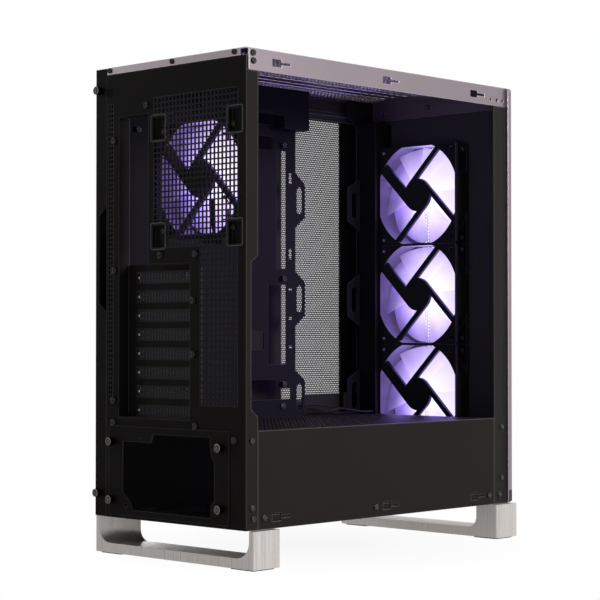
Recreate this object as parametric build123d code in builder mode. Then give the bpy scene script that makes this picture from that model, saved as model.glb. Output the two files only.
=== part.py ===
from build123d import *
import math
import os

# A desktop computer tower, empty and with its left door taken off: a black steel
# frame, an alloy roof and front panel, two milled alloy feet, a perforated right
# cover and four 120 mm fans.  Millimetres, +Z up, the front faces -Y, the open
# side faces -X.  The origin is the middle of the footprint, on the floor.

os.makedirs("parts", exist_ok=True)

# ---------------------------------------------------------------- driving sizes
frame_width = 216.0
frame_depth = 426.6
frame_height = 486.0
door_room = 10.4          # space beside the frame for the door that is taken off
cover_depth = 17.6        # right cover, outside the frame
front_thickness = 8.0
foot_height = 38.5
pad_thickness = 1.5
screw_reach = 9.0         # how far the rear thumbscrews stand out

steel = 1.2               # frame sheet
alloy = 1.2               # roof sheet
gap = 0.3                 # between pieces that must not touch

# ---------------------------------------------------------------- main planes
overall_width = door_room + frame_width + cover_depth
overall_depth = screw_reach + frame_depth + front_thickness
left = door_room - overall_width / 2
right = left + frame_width
rear = overall_depth / 2 - screw_reach
front = rear - frame_depth
base = foot_height + pad_thickness
roof = base + frame_height

# ---------------------------------------------------------------- frame details
roof_flange = 22.4        # height of the roof's side flange
roof_rear_flange = 7.6
rear_post = 17.0          # width of the rear panel's side flange
front_post = 22.1
front_wall_setback = 2.6  # front wall behind the posts' front edges
lip = 9.0                 # overlap of lips behind a neighbour
shroud_height = 99.7
tray_setback = 200.0      # board side of the tray, from the open side
roof_band = 25.0          # height of the roof's hanging front band
rail_top_height = 27.5
rail_bottom_height = 124.7
rail_low_height = 117.0   # the same rail, lower behind the tray
rail_step = 305.0         # from the rear plane

tray = left + tray_setback
inner_right = right - 2 * steel
post_top = roof - roof_flange - gap
shroud_top = base + shroud_height
front_wall = front + front_wall_setback

# ---------------------------------------------------------------- standard sizes
slot_pitch = 20.32
slot_count = 8
slot_opening = 12.0
io_width = 44.45
io_height = 158.75
supply_width = 150.0
supply_height = 86.0
board_rows = (0.0, 124.46, 281.94)
board_columns = (0.0, 72.39, 227.33)
fan_size = 120.0
fan_depth = 25.0
fan_screw_pitch = 105.0


# ---------------------------------------------------------------- helpers
def wall_plane(y):
    """Upright plane across the tower: local x is X, local y is Z, extrusion runs to -Y."""
    return Plane.XZ.offset(-y)


def side_plane(x):
    """Upright plane along the tower: local x is Y, local y is Z, extrusion runs to +X."""
    return Plane.YZ.offset(x)


def level(z):
    return Plane.XY.offset(z)


def panel(x0, x1, y0, y1, corner=0.0, mode=Mode.ADD):
    """A rectangle between two corners of the sketch plane, with rounded corners if wanted."""
    with Locations(((x0 + x1) / 2, (y0 + y1) / 2)):
        if corner > 0:
            RectangleRounded(abs(x1 - x0), abs(y1 - y0), corner, mode=mode)
        else:
            Rectangle(abs(x1 - x0), abs(y1 - y0), mode=mode)


def block(x0, x1, y0, y1, z0, z1, mode=Mode.ADD):
    with Locations(((x0 + x1) / 2, (y0 + y1) / 2, (z0 + z1) / 2)):
        Box(abs(x1 - x0), abs(y1 - y0), abs(z1 - z0), mode=mode)


# ---------------------------------------------------------------- perforated plates
vent_pitch = 12.0
vent_bar = 4.0


def vent_slots(x0, x1, y0, y1, columns=1):
    """Rows of long openings that fill a rectangle of the sketch plane."""
    rows = max(1, int((y1 - y0 - vent_bar) / vent_pitch))
    row_pitch = (y1 - y0 - vent_bar) / rows
    column_pitch = (x1 - x0 - vent_bar) / columns
    with Locations(((x0 + x1) / 2, (y0 + y1) / 2)):
        with GridLocations(column_pitch, row_pitch, columns, rows):
            Rectangle(column_pitch - vent_bar, row_pitch - vent_bar, mode=Mode.SUBTRACT)


def vent_plate(x0, x1, y0, y1, columns=1):
    """Sketch of a perforated field that fills a window, level with the sheet round it."""
    panel(x0, x1, y0, y1)
    vent_slots(x0, x1, y0, y1, columns)


# ---------------------------------------------------------------- rear panel
rear_sheet_top = roof - roof_rear_flange - gap
recess_depth = 14.2
slots_near = left + 82.0
slots_far = left + 196.5
slots_bottom = base + 107.0
io_near = left + 147.0
io_bottom = base + 272.0
io_top_margin = 1.6
first_slot = base + 257.6

fan_x = left + 75.5
fan_z = base + 358.0
fan_seat = 6.2            # rear fan's outer face, inside the rear plane
pad_width = 21.4
pad_height = 26.4
pad_shift = (-1.75, -0.55)   # middle of the four pads, from the fan's axis
pad_spread = (5.45, 4.65)    # pads' centres lie this far outside the fan's screws
pad_slot = 12.0              # height adjustment of the fan
field_near = left + 12.0
field_far = left + 139.5
field_bottom = base + 288.0
field_top = base + 447.0
side_vent = (left + 12.4, left + 67.4, base + 124.3, base + 285.7)
edge_vent = (left + 205.0, left + 212.5, base + 127.0, base + 446.0)

supply_left = left + 38.2
supply_bottom = base + 8.4
bracket = (left + 23.5, left + 209.8, base + 3.0, base + 99.0)
bracket_screws_x = (left + 33.5, left + 203.0)
bracket_screws_z = (base + 19.6, base + 82.0)
thumb_shank = 1.5
thumb_hole = 1.8

cover_screw_x = right + cover_depth / 2
cover_screw_z = (base + 25.5, base + 462.0)
lug_height = 16.0

notch_depth = 9.6         # rear post is narrower beside the slots
notch_bottom = base + 113.6
notch_top = base + 276.9


def recess_outline(shrink):
    """The pressed recess: a wide lower part for the slots, a narrow upper part for the board's sockets."""
    panel(slots_near + shrink, slots_far - shrink, slots_bottom + shrink, io_bottom - shrink)
    recess_top = io_bottom + io_height + io_top_margin
    panel(io_near + shrink, slots_far - shrink, slots_bottom + shrink, recess_top - shrink)


def fan_pad_centres():
    """Centres of the four pressed pads that carry the rear fan."""
    across = fan_screw_pitch / 2 + pad_spread[0]
    upward = fan_screw_pitch / 2 + pad_spread[1]
    middle = (fan_x + pad_shift[0], fan_z + pad_shift[1])
    return [(middle[0] + sx * across, middle[1] + sz * upward) for sx in (-1, 1) for sz in (-1, 1)]


with BuildPart() as rear_panel:
    with BuildSketch(wall_plane(rear)):
        panel(left, right, base, rear_sheet_top)
        panel(field_near, field_far, field_bottom, field_top, mode=Mode.SUBTRACT)
        panel(*side_vent, mode=Mode.SUBTRACT)
        panel(*edge_vent, mode=Mode.SUBTRACT)
        panel(
            supply_left - 2,
            supply_left + supply_width + 2,
            supply_bottom - 2,
            supply_bottom + supply_height + 2,
            mode=Mode.SUBTRACT,
        )
        recess_outline(steel / 2)
    extrude(amount=steel)
    # joggled lip behind the roof's rear flange
    block(left + lip, right - lip, rear - alloy - steel, rear - steel, rear_sheet_top - lip, rear_sheet_top)
    block(left + lip, right - lip, rear - alloy - steel, rear - alloy, rear_sheet_top - lip, roof - alloy - gap)
    # pressed recess
    with BuildSketch(wall_plane(rear)):
        recess_outline(0)
    extrude(amount=recess_depth + steel)
    with BuildSketch(wall_plane(rear)):
        recess_outline(steel)
    extrude(amount=recess_depth, mode=Mode.SUBTRACT)
    # slot openings and socket opening in the recess floor
    with BuildSketch(wall_plane(rear - recess_depth)):
        for k in range(slot_count):
            z = first_slot - k * slot_pitch
            panel(slots_near + 3, slots_far - 15, z - slot_opening / 2, z + slot_opening / 2)
        panel(slots_far - steel - io_width, slots_far - steel, io_bottom, io_bottom + io_height)
    extrude(amount=steel, mode=Mode.SUBTRACT)
    # pressed pads for the rear fan
    with BuildSketch(wall_plane(rear)):
        with Locations(*fan_pad_centres()):
            RectangleRounded(pad_width, pad_height, 2)
    extrude(amount=fan_seat)
    with BuildSketch(wall_plane(rear)):
        with Locations(*fan_pad_centres()):
            RectangleRounded(pad_width - 2 * steel, pad_height - 2 * steel, 1)
    extrude(amount=fan_seat - steel, mode=Mode.SUBTRACT)
    with BuildSketch(wall_plane(rear - fan_seat + steel)):
        with Locations((fan_x, fan_z)):
            with GridLocations(fan_screw_pitch, fan_screw_pitch, 2, 2):
                SlotOverall(pad_slot, 4.4, rotation=90)
    extrude(amount=steel, mode=Mode.SUBTRACT)
    # side posts
    with BuildSketch(side_plane(left)):
        with BuildLine():
            Polyline(
                (rear, base),
                (rear, post_top),
                (rear - rear_post, post_top),
                (rear - rear_post, notch_top),
                (rear - rear_post + notch_depth, notch_top - notch_depth * 0.76),
                (rear - rear_post + notch_depth, notch_bottom + notch_depth * 0.85),
                (rear - rear_post, notch_bottom),
                (rear - rear_post, base),
                close=True,
            )
        make_face()
    extrude(amount=steel)
    block(left + steel, left + alloy + steel, rear - rear_post, rear - steel, post_top - lip, post_top)
    block(left + alloy, left + alloy + steel, rear - rear_post, rear - 4, post_top - lip, roof - alloy - gap)
    block(right - steel, right, rear - rear_post, rear, base, roof - alloy - gap)
    # lugs for the right cover's thumbscrews
    for z in cover_screw_z:
        block(right - steel, right + cover_depth - 4, rear - 2 * steel - gap, rear - steel - gap, z - 8, z + 8)
    # screw holes
    with BuildSketch(wall_plane(rear + 1)):
        with Locations(*[(x, z) for x in bracket_screws_x for z in bracket_screws_z]):
            Circle(thumb_hole)
        with Locations(*[(cover_screw_x, z) for z in cover_screw_z]):
            Circle(thumb_hole)
    extrude(amount=6, mode=Mode.SUBTRACT)
rear_panel.part.label = "rear_panel"
export_step(rear_panel.part, "parts/rear_panel.step")

# the rear panel's perforated fields, level with its sheet
with BuildPart() as fan_grille:
    with BuildSketch(wall_plane(rear)):
        vent_plate(field_near, field_far, field_bottom, field_top, 2)
        with Locations(*fan_pad_centres()):
            Rectangle(pad_width + 2 * vent_bar, pad_height + 2 * vent_bar)
        panel(left, field_near, base, roof, mode=Mode.SUBTRACT)
        panel(field_far, right, base, roof, mode=Mode.SUBTRACT)
        panel(left, right, base, field_bottom, mode=Mode.SUBTRACT)
        with Locations(*fan_pad_centres()):
            RectangleRounded(pad_width, pad_height, 2, mode=Mode.SUBTRACT)
    extrude(amount=steel)
fan_grille.part.label = "rear_fan_grille"
export_step(fan_grille.part, "parts/rear_fan_grille.step")

with BuildPart() as side_vent_grille:
    with BuildSketch(wall_plane(rear)):
        vent_plate(*side_vent)
    extrude(amount=steel)
side_vent_grille.part.label = "rear_vent_grille"
export_step(side_vent_grille.part, "parts/rear_vent_grille.step")

with BuildPart() as edge_vent_grille:
    with BuildSketch(wall_plane(rear)):
        panel(*edge_vent)
        vent_slots(edge_vent[0] - 3, edge_vent[1] + 3, edge_vent[2], edge_vent[3])
    extrude(amount=steel)
edge_vent_grille.part.label = "rear_edge_grille"
export_step(edge_vent_grille.part, "parts/rear_edge_grille.step")

# ---------------------------------------------------------------- slot covers
cover_plate = 1.0
cover_height = 18.4
cover_tongue = 10.2
cover_far = slots_far - 5.5
slot_inner = rear - recess_depth - steel

for k in range(slot_count):
    z = first_slot - k * slot_pitch
    with BuildPart() as slot_cover:
        with BuildSketch(wall_plane(slot_inner)):
            with BuildLine():
                Polyline(
                    (slots_near - cover_plate, z - cover_height / 2),
                    (cover_far - 11, z - cover_height / 2),
                    (cover_far - 7, z - cover_tongue / 2),
                    (cover_far, z - cover_tongue / 2),
                    (cover_far, z + cover_tongue / 2),
                    (cover_far - 7, z + cover_tongue / 2),
                    (cover_far - 11, z + cover_height / 2),
                    (slots_near - cover_plate, z + cover_height / 2),
                    close=True,
                )
            make_face()
            with Locations(((slots_near + cover_far) / 2 - 5, z)):
                with GridLocations(23, 4.6, 4, 2):
                    Rectangle(20, 2.6, mode=Mode.SUBTRACT)
        extrude(amount=cover_plate)
        block(
            slots_near - cover_plate,
            slots_near,
            slot_inner,
            rear - 3,
            z - cover_height / 2,
            z + cover_height / 2,
        )
        with Locations(Location((slots_near - cover_plate / 2, rear - 8, z), (0, 90, 0))):
            Cylinder(2.0, 2 * cover_plate, mode=Mode.SUBTRACT)
    slot_cover.part.label = f"slot_cover_{k + 1}"
    export_step(slot_cover.part, f"parts/slot_cover_{k + 1}.step")

# ---------------------------------------------------------------- power supply bracket
supply_right = supply_left + supply_width
supply_top = supply_bottom + supply_height
supply_holes = (
    (supply_left + 120, supply_top - 6),
    (supply_left + 144, supply_top - 80),
    (supply_left + 6, supply_top - 16),
    (supply_left + 6, supply_top - 80),
)
hole_land = 6.8           # metal kept round each power supply screw

with BuildPart() as supply_bracket:
    with BuildSketch(wall_plane(rear + steel)):
        panel(*bracket, corner=3)
        with BuildLine():
            Polyline(
                (supply_left + hole_land + 5, supply_bottom + 1.4),
                (supply_right - 18, supply_bottom + 1.4),
                (supply_right - 14, supply_bottom + 9),
                (supply_right - 1, supply_bottom + 20),
                (supply_right - 1, supply_top - 12),
                (supply_right - 46, supply_top - 12),
                (supply_right - 50, supply_top - 3),
                (supply_left + hole_land + 7, supply_top - 3),
                (supply_left + hole_land + 5, supply_top - 20),
                (supply_left + hole_land, supply_top - 28),
                (supply_left + hole_land, supply_bottom + 18),
                (supply_left + hole_land + 5, supply_bottom + 13),
                close=True,
            )
        make_face(mode=Mode.SUBTRACT)
        with Locations(*supply_holes):
            Circle(2.0, mode=Mode.SUBTRACT)
        with Locations(*[(x, z) for x in bracket_screws_x for z in bracket_screws_z]):
            Circle(thumb_hole, mode=Mode.SUBTRACT)
    extrude(amount=steel)
supply_bracket.part.label = "supply_bracket"
export_step(supply_bracket.part, "parts/supply_bracket.step")

thumb_head = 4.5
thumb_neck = 3.2


def thumbscrew(seat, reach):
    """A captive thumbscrew on the Y axis: head, neck and shank, pointing into the tower."""
    with BuildPart() as screw:
        with BuildSketch(Plane.XY):
            Polygon(
                (0, rear + screw_reach),
                (thumb_head - 0.6, rear + screw_reach),
                (thumb_head, rear + screw_reach - 0.6),
                (thumb_head, seat + 2.4),
                (thumb_neck, seat + 2.0),
                (thumb_neck, seat),
                (thumb_shank, seat),
                (thumb_shank, seat - reach),
                (0, seat - reach),
                align=None,
            )
        revolve(axis=Axis.Y)
    return screw.part


supply_screw = thumbscrew(rear + steel, 5.0)
with BuildPart() as supply_screws:
    with Locations(*[(x, 0, z) for x in bracket_screws_x for z in bracket_screws_z]):
        add(supply_screw)
supply_screws.part.label = "supply_thumbscrews"
export_step(supply_screws.part, "parts/supply_thumbscrews.step")

cover_screw = thumbscrew(rear, 5.0)
with BuildPart() as cover_screws:
    with Locations(*[(cover_screw_x, 0, z) for z in cover_screw_z]):
        add(cover_screw)
cover_screws.part.label = "cover_thumbscrews"
export_step(cover_screws.part, "parts/cover_thumbscrews.step")

# ---------------------------------------------------------------- board tray
tray_front = rear - 279.0
ear_pitch = 117.25
first_ear = base + 122.0
ear_base = 65.0
ear_tip = 40.0
ear_reach = 16.5
tie_offset = 7.3
tie_slot = 32.0
tie_width = 10.0
board_rear = rear - 27.2
board_low = base + 138.5
standoff_height = 6.5
standoff_bore = 1.25


def ear_centres():
    return [first_ear + k * ear_pitch for k in range(3)]


def ears(edge, reach):
    """Blunt ears along a vertical edge, each with its tie slot; reach is signed along Y."""
    for z in ear_centres():
        Polygon(
            (edge, z - ear_base / 2),
            (edge + reach, z - ear_tip / 2),
            (edge + reach, z + ear_tip / 2),
            (edge, z + ear_base / 2),
            align=None,
        )


def tie_slots(y):
    for z in ear_centres():
        with Locations((y, z)):
            SlotOverall(tie_slot, tie_width, rotation=90, mode=Mode.SUBTRACT)


cable_windows = (
    # two distances from the rear plane, two heights over the frame's bottom
    (180.0, 261.5, 443.5, 455.5),
    (190.0, 242.0, 413.7, 429.4),
    (247.0, 263.4, 274.5, 413.5),
    (233.5, 263.4, 161.7, 255.3),
    (190.0, 226.0, 179.5, 200.3),
    (195.0, 247.0, 120.5, 143.6),
    (247.0, 271.0, 120.5, 133.0),
)

with BuildPart() as board_tray:
    with BuildSketch(side_plane(tray)):
        panel(rear - steel, tray_front, shroud_top, roof - alloy)
        panel(rear, rear - alloy - steel, rear_sheet_top - lip - gap, roof, mode=Mode.SUBTRACT)
        ears(tray_front, -ear_reach)
        panel(tray_front, tray_front - ear_reach, base + 60, shroud_top, mode=Mode.SUBTRACT)
        tie_slots(tray_front - tie_offset)
        for b0, b1, z0, z1 in cable_windows:
            panel(rear - b0, rear - b1, base + z0, base + z1, mode=Mode.SUBTRACT)
        # back-plate window behind the processor
        panel(rear - 62, rear - 160, base + 300, base + 408, corner=4, mode=Mode.SUBTRACT)
        # small tie points
        for z in (382.0, 292.0):
            with Locations((rear - 270.6, base + z)):
                SlotOverall(13, 6, rotation=90, mode=Mode.SUBTRACT)
        for z in (250.0, 216.0, 182.0):
            with Locations((rear - 271, base + z)):
                Rectangle(6, 3, mode=Mode.SUBTRACT)
    extrude(amount=steel)
board_tray.part.label = "board_tray"
export_step(board_tray.part, "parts/board_tray.step")

with BuildPart() as standoffs:
    with BuildSketch(side_plane(tray)):
        with Locations(*[(board_rear - c, board_low + r) for c in board_columns for r in board_rows]):
            RegularPolygon(3.2, 6)
            Circle(standoff_bore, mode=Mode.SUBTRACT)
    extrude(amount=-standoff_height)
standoffs.part.label = "board_standoffs"
export_step(standoffs.part, "parts/board_standoffs.step")

cover_front = rear - 282.0
cover_rear = rear - 110.0
cover_near = tray - 20.0
cover_low = base + 438.0
cover_step = base + 453.0
cover_step_y = rear - 240.5

with BuildPart() as cable_cover:
    with BuildSketch(side_plane(cover_near)):
        with BuildLine():
            Polyline(
                (cover_rear, cover_step),
                (cover_step_y, cover_step),
                (cover_step_y, cover_low),
                (cover_front, cover_low),
                (cover_front, roof - alloy - gap),
                (cover_rear, roof - alloy - gap),
                close=True,
            )
        make_face()
    extrude(amount=tray - cover_near)
    offset(
        amount=-steel,
        openings=cable_cover.faces().sort_by(Axis.X)[-1],
        kind=Kind.INTERSECTION,
    )
cable_cover.part.label = "cable_cover"
export_step(cable_cover.part, "parts/cable_cover.step")

hub_box = (tray + steel, tray + steel + 13.0, rear - 140.0, rear - 70.0, base + 190.0, base + 232.0)
socket_near = hub_box[0] + 4.0
socket_far = hub_box[0] + 9.5
socket_half = 5.0
socket_depth = 7.0
socket_pitch = 15.0
socket_y = [hub_box[3] - 12 - k * socket_pitch for k in range(4)]

with BuildPart() as fan_hub:
    block(*hub_box)
    fillet(fan_hub.edges().filter_by(Axis.X), 3)
    for y in socket_y:
        block(
            socket_near,
            socket_far,
            y - socket_half,
            y + socket_half,
            hub_box[4],
            hub_box[4] + socket_depth,
            mode=Mode.SUBTRACT,
        )
fan_hub.part.label = "fan_hub"
export_step(fan_hub.part, "parts/fan_hub.step")

# ---------------------------------------------------------------- shroud over the power supply
hook_starts = (37.5, 208.5, 361.0)   # keyhole slots, from the rear plane
hook_wide = 13.0
hook_narrow = 26.0
shroud_field = (left + 8.0, left + 192.0, rear - 385.0, rear - 28.0)
shroud_front = front_wall + fan_depth + 1.0


def keyholes(height):
    """Keyhole slots that the door's hooks drop into: a wide mouth and a narrow run forwards."""
    for start in hook_starts:
        panel(rear - start, rear - start - hook_wide, height - 4, height + 4, mode=Mode.SUBTRACT)
        panel(rear - start, rear - start - hook_narrow, height - 1.3, height + 1.3, mode=Mode.SUBTRACT)


with BuildPart() as shroud:
    with BuildSketch(side_plane(left)):
        panel(rear - rear_post - gap, rear - frame_depth + front_post + gap, base, shroud_top)
        keyholes(base + 11.2)
    extrude(amount=steel)
    with BuildSketch(level(shroud_top - steel)):
        panel(left, inner_right, rear - rear_post - gap, shroud_front)
        panel(left + steel, inner_right, rear - steel, rear - rear_post - gap)
        panel(*shroud_field, mode=Mode.SUBTRACT)
        panel(left + 80, left + 198, rear - steel, rear - recess_depth - 3, mode=Mode.SUBTRACT)
    extrude(amount=steel)
    for y0, y1 in ((rear - 4, rear - 30), (shroud_front, rear - 420)):
        block(left + steel, left + 2 * steel, y0, y1, base + steel, shroud_top - steel)
    block(left + steel, left + 2 * steel, rear - 30, shroud_front, shroud_top - 12, shroud_top - steel)
shroud.part.label = "supply_shroud"
export_step(shroud.part, "parts/supply_shroud.step")

with BuildPart() as shroud_grille:
    with BuildSketch(level(shroud_top - steel)):
        vent_plate(*shroud_field, columns=2)
    extrude(amount=steel)
shroud_grille.part.label = "shroud_grille"
export_step(shroud_grille.part, "parts/shroud_grille.step")

# ---------------------------------------------------------------- base and right rails
supply_vent = (left + 52.0, left + 176.0, rear - 190.0, rear - 62.0)
filter_box = (left + 40.0, left + 188.0, rear - 214.0, rear - 43.0)
filter_thickness = 2.6
runner = 1.2

with BuildPart() as base_panel:
    with BuildSketch(level(base)):
        panel(left + steel, inner_right, rear - steel, front_wall)
        panel(*supply_vent, mode=Mode.SUBTRACT)
    extrude(amount=steel)
    block(left + steel, left + 2 * steel, rear - 36, rear - 390, base, base + 14)
    block(left + 2 * steel, inner_right, rear - 2 * steel, rear - steel, base, supply_bottom - 3)
    # runners for the sliding filter, under the base
    for side, x in ((-1, filter_box[0]), (1, filter_box[1])):
        block(x + side * gap, x + side * (gap + runner), filter_box[2], filter_box[3], base - 5, base)
        ledge = base - 5
        block(x + side * (gap + runner), x - side * 4, filter_box[2], filter_box[3], ledge, ledge + runner)
base_panel.part.label = "base_panel"
export_step(base_panel.part, "parts/base_panel.step")

with BuildPart() as base_grille:
    with BuildSketch(level(base)):
        vent_plate(*supply_vent)
    extrude(amount=steel)
base_grille.part.label = "base_grille"
export_step(base_grille.part, "parts/base_grille.step")

with BuildPart() as dust_filter:
    with BuildSketch(level(base - 5 + runner + gap)):
        panel(filter_box[0], filter_box[1], filter_box[2], filter_box[3] + 6, corner=2)
        vent_slots(filter_box[0] + 8, filter_box[1] - 8, filter_box[2] + 8, filter_box[3] - 8)
    extrude(amount=filter_thickness)
dust_filter.part.label = "base_dust_filter"
export_step(dust_filter.part, "parts/base_dust_filter.step")

with BuildPart() as supply_pads:
    for x in (supply_left + 6, supply_right - 6):
        for y in (rear - 30, rear - 130):
            block(x - 4, x + 4, y - 9, y + 9, base + steel, supply_bottom)
supply_pads.part.label = "supply_pads"
export_step(supply_pads.part, "parts/supply_pads.step")

rib_depth = 1.6

with BuildPart() as top_rail:
    with BuildSketch(side_plane(inner_right)):
        panel(rear - steel, front_wall, roof - rail_top_height, roof - alloy)
    extrude(amount=steel)
    # pressed rib with a long slot
    rail_edge = roof - rail_top_height
    with BuildSketch(side_plane(inner_right - rib_depth)):
        panel(rear - 24, front_wall + 24, rail_edge, rail_edge + 11)
        panel(rear - 24, front_wall + 24, rail_edge + 4, rail_edge + 6.5, mode=Mode.SUBTRACT)
    extrude(amount=rib_depth)
top_rail.part.label = "right_rail_top"
export_step(top_rail.part, "parts/right_rail_top.step")

with BuildPart() as bottom_rail:
    with BuildSketch(side_plane(inner_right)):
        panel(rear - steel, front_wall, base, base + rail_low_height)
        panel(rear - rail_step, front_wall, base, base + rail_bottom_height)
    extrude(amount=steel)
bottom_rail.part.label = "right_rail_bottom"
export_step(bottom_rail.part, "parts/right_rail_bottom.step")

# ---------------------------------------------------------------- front wall
front_fan_x = left + 112.3
front_fan_z = [base + 365.3 - k * fan_size for k in range(3)]
front_fan_face = front_wall + fan_depth
box_near = left + 174.0   # hollow cable bracket beside the fans
box_face = front_wall + fan_depth + 5.8
box_ear_reach = 21.9
box_tie_offset = 9.2
port_x = left + 187.5
port_low = base + 334.0
port_high = base + 452.0
port_half = 9.0
port_wall = 1.5

lead_radius = 1.3
lead_play = 0.2           # round each lead in its hole
lead_rows = (188.0, 183.0, 178.0)
lead_hole_height = 103.4
lead_holes = [(left + a, base + lead_hole_height) for a in lead_rows]

with BuildPart() as front_frame:
    with BuildSketch(wall_plane(front_wall)):
        panel(left, right, base, roof - alloy)
        for z in front_fan_z:
            with Locations((front_fan_x, z)):
                Circle(58, mode=Mode.SUBTRACT)
                with GridLocations(fan_screw_pitch, fan_screw_pitch, 2, 2):
                    Circle(2.2, mode=Mode.SUBTRACT)
        panel(port_x - port_half - 1, port_x + port_half + 1, port_low - 1, port_high + 1, mode=Mode.SUBTRACT)
    extrude(amount=steel)
    # posts
    block(left, left + steel, front, front + front_post, base, post_top)
    block(right - steel, right, front, front + front_post, base, roof - alloy)
    block(left + steel, left + alloy + steel, front + gap, front + front_post, post_top - lip, post_top)
    block(left + alloy, left + alloy + steel, front + gap, front + front_post, post_top - lip, roof - alloy)
    # the roof's side flange laps the front wall's upper corner
    block(left, left + alloy, front, front + front_post, post_top, roof, mode=Mode.SUBTRACT)
    block(left + steel, right - steel, front, front_wall - steel, base, base + steel)
front_frame.part.label = "front_frame"
export_step(front_frame.part, "parts/front_frame.step")

with BuildPart() as cable_bracket:
    with BuildSketch(side_plane(tray)):
        panel(front_wall, box_face, shroud_top, roof - alloy)
        ears(box_face, box_ear_reach)
        panel(box_face, box_face + box_ear_reach, base + 60, shroud_top, mode=Mode.SUBTRACT)
        with BuildLine():
            Polyline(
                (box_face, base + 443),
                (box_face + box_ear_reach, base + 467),
                (box_face + box_ear_reach, roof - alloy),
                (box_face, roof - alloy),
                close=True,
            )
        make_face()
        tie_slots(box_face + box_tie_offset)
        # clears the roof's front band
        panel(front_wall, front_wall + 4 + alloy + gap, roof - roof_band - gap, roof, mode=Mode.SUBTRACT)
    extrude(amount=steel)
    block(box_near, tray, box_face - steel, box_face, shroud_top, roof - 30)
    block(box_near, box_near + steel, front_wall, box_face, shroud_top, roof - 30)
    # the fan leads come out at the foot of the bracket's rear face
    with BuildSketch(wall_plane(box_face)):
        with Locations(*lead_holes):
            Circle(lead_radius + lead_play)
    extrude(amount=steel, mode=Mode.SUBTRACT)
cable_bracket.part.label = "cable_bracket"
export_step(cable_bracket.part, "parts/cable_bracket.step")

# ---------------------------------------------------------------- roof
roof_fields = (
    (left + 26.0, left + 118.0, rear - 408.0, rear - 16.0),
    (left + 168.0, left + 204.0, rear - 408.0, rear - 16.0),
)
roof_slots_x = (125.0, 143.5, 160.5)
flange_holes = ((27.4, 1.7), (15.6, 2.3), (5.6, 1.7))   # from the frame's front edge, and radius
flange_hole_drop = 15.4

with BuildPart() as roof_panel:
    with BuildSketch(level(roof - alloy)):
        panel(left, right, rear, front)
        for field in roof_fields:
            panel(*field, mode=Mode.SUBTRACT)
        for x in roof_slots_x:
            with Locations((left + x, rear - frame_depth / 2)):
                SlotOverall(frame_depth - 60, 4.6, rotation=90, mode=Mode.SUBTRACT)
    extrude(amount=alloy)
    with BuildSketch(side_plane(left)):
        panel(rear - 3.6, front, roof - roof_flange, roof)
        keyholes(roof - 12)
        for start, radius in flange_holes:
            with Locations((front + start, roof - flange_hole_drop)):
                Circle(radius, mode=Mode.SUBTRACT)
    extrude(amount=alloy)
    block(left + lip, right - steel, rear, rear - alloy, roof - roof_rear_flange, roof)
    # front band, hung under the roof
    block(
        left + 2 * alloy + 1,
        inner_right - 2,
        front_wall + 4,
        front_wall + 4 + alloy,
        roof - roof_band,
        roof - alloy,
    )
roof_panel.part.label = "roof_panel"
export_step(roof_panel.part, "parts/roof_panel.step")

with BuildPart() as roof_grilles:
    with BuildSketch(level(roof - alloy)):
        for field in roof_fields:
            vent_plate(*field)
    extrude(amount=alloy)
roof_grilles.part.label = "roof_grilles"
export_step(roof_grilles.part, "parts/roof_grilles.step")

roof_filter_thickness = 1.0
with BuildPart() as roof_filter:
    with BuildSketch(level(roof)):
        panel(left + 14, right - 6, rear - 10, front + 12, corner=4)
        vent_slots(left + 26, right - 18, rear - 22 - (frame_depth - 46), rear - 22, columns=3)
    extrude(amount=roof_filter_thickness)
roof_filter.part.label = "roof_dust_filter"
export_step(roof_filter.part, "parts/roof_dust_filter.step")

# ---------------------------------------------------------------- right cover
cover_x = right + cover_depth
cover_window = (rear - 392.0, rear - 288.0, base + rail_low_height, base + 461.0)
cover_front_edge = front + gap
grip_low = base + 221.5
grip_high = base + 336.3
grip_depth = 12.4
grip_slant = 10.2

with BuildPart() as right_cover:
    with BuildSketch(side_plane(cover_x - steel)):
        panel(rear, cover_front_edge, base + gap, roof - gap)
        panel(*cover_window, mode=Mode.SUBTRACT)
    extrude(amount=steel)
    with BuildSketch(wall_plane(rear)):
        panel(right + gap, cover_x, base + gap, roof - gap)
        with BuildLine():
            Polyline(
                (right, grip_low),
                (right + grip_depth, grip_low + grip_slant),
                (right + grip_depth, grip_high - grip_slant),
                (right, grip_high),
                close=True,
            )
        make_face(mode=Mode.SUBTRACT)
        with Locations(*[(cover_screw_x, z) for z in cover_screw_z]):
            Circle(thumb_hole, mode=Mode.SUBTRACT)
    extrude(amount=steel)
    block(right + gap, cover_x, cover_front_edge, cover_front_edge + steel, base + gap, roof - gap)
    block(right + gap, cover_x, rear, cover_front_edge, roof - gap - steel, roof - gap)
    block(right + gap, cover_x, rear, cover_front_edge, base + gap, base + gap + steel)
right_cover.part.label = "right_cover"
export_step(right_cover.part, "parts/right_cover.step")

with BuildPart() as cover_mesh:
    with BuildSketch(side_plane(cover_x - steel)):
        vent_plate(*cover_window)
    extrude(amount=steel)
cover_mesh.part.label = "right_cover_mesh"
export_step(cover_mesh.part, "parts/right_cover_mesh.step")

# ---------------------------------------------------------------- front panel and ports
front_face = front - front_thickness
front_overhang = 3.9      # front panel beyond the frame's open side
mesh_half = 61.5
mesh_near = front_fan_x - mesh_half
mesh_far = front_fan_x + mesh_half
mesh_low = base + 40.0
mesh_high = base + 446.0
rebate = 3.0
mesh_sheet = 1.0
port_recess = 0.6

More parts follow.
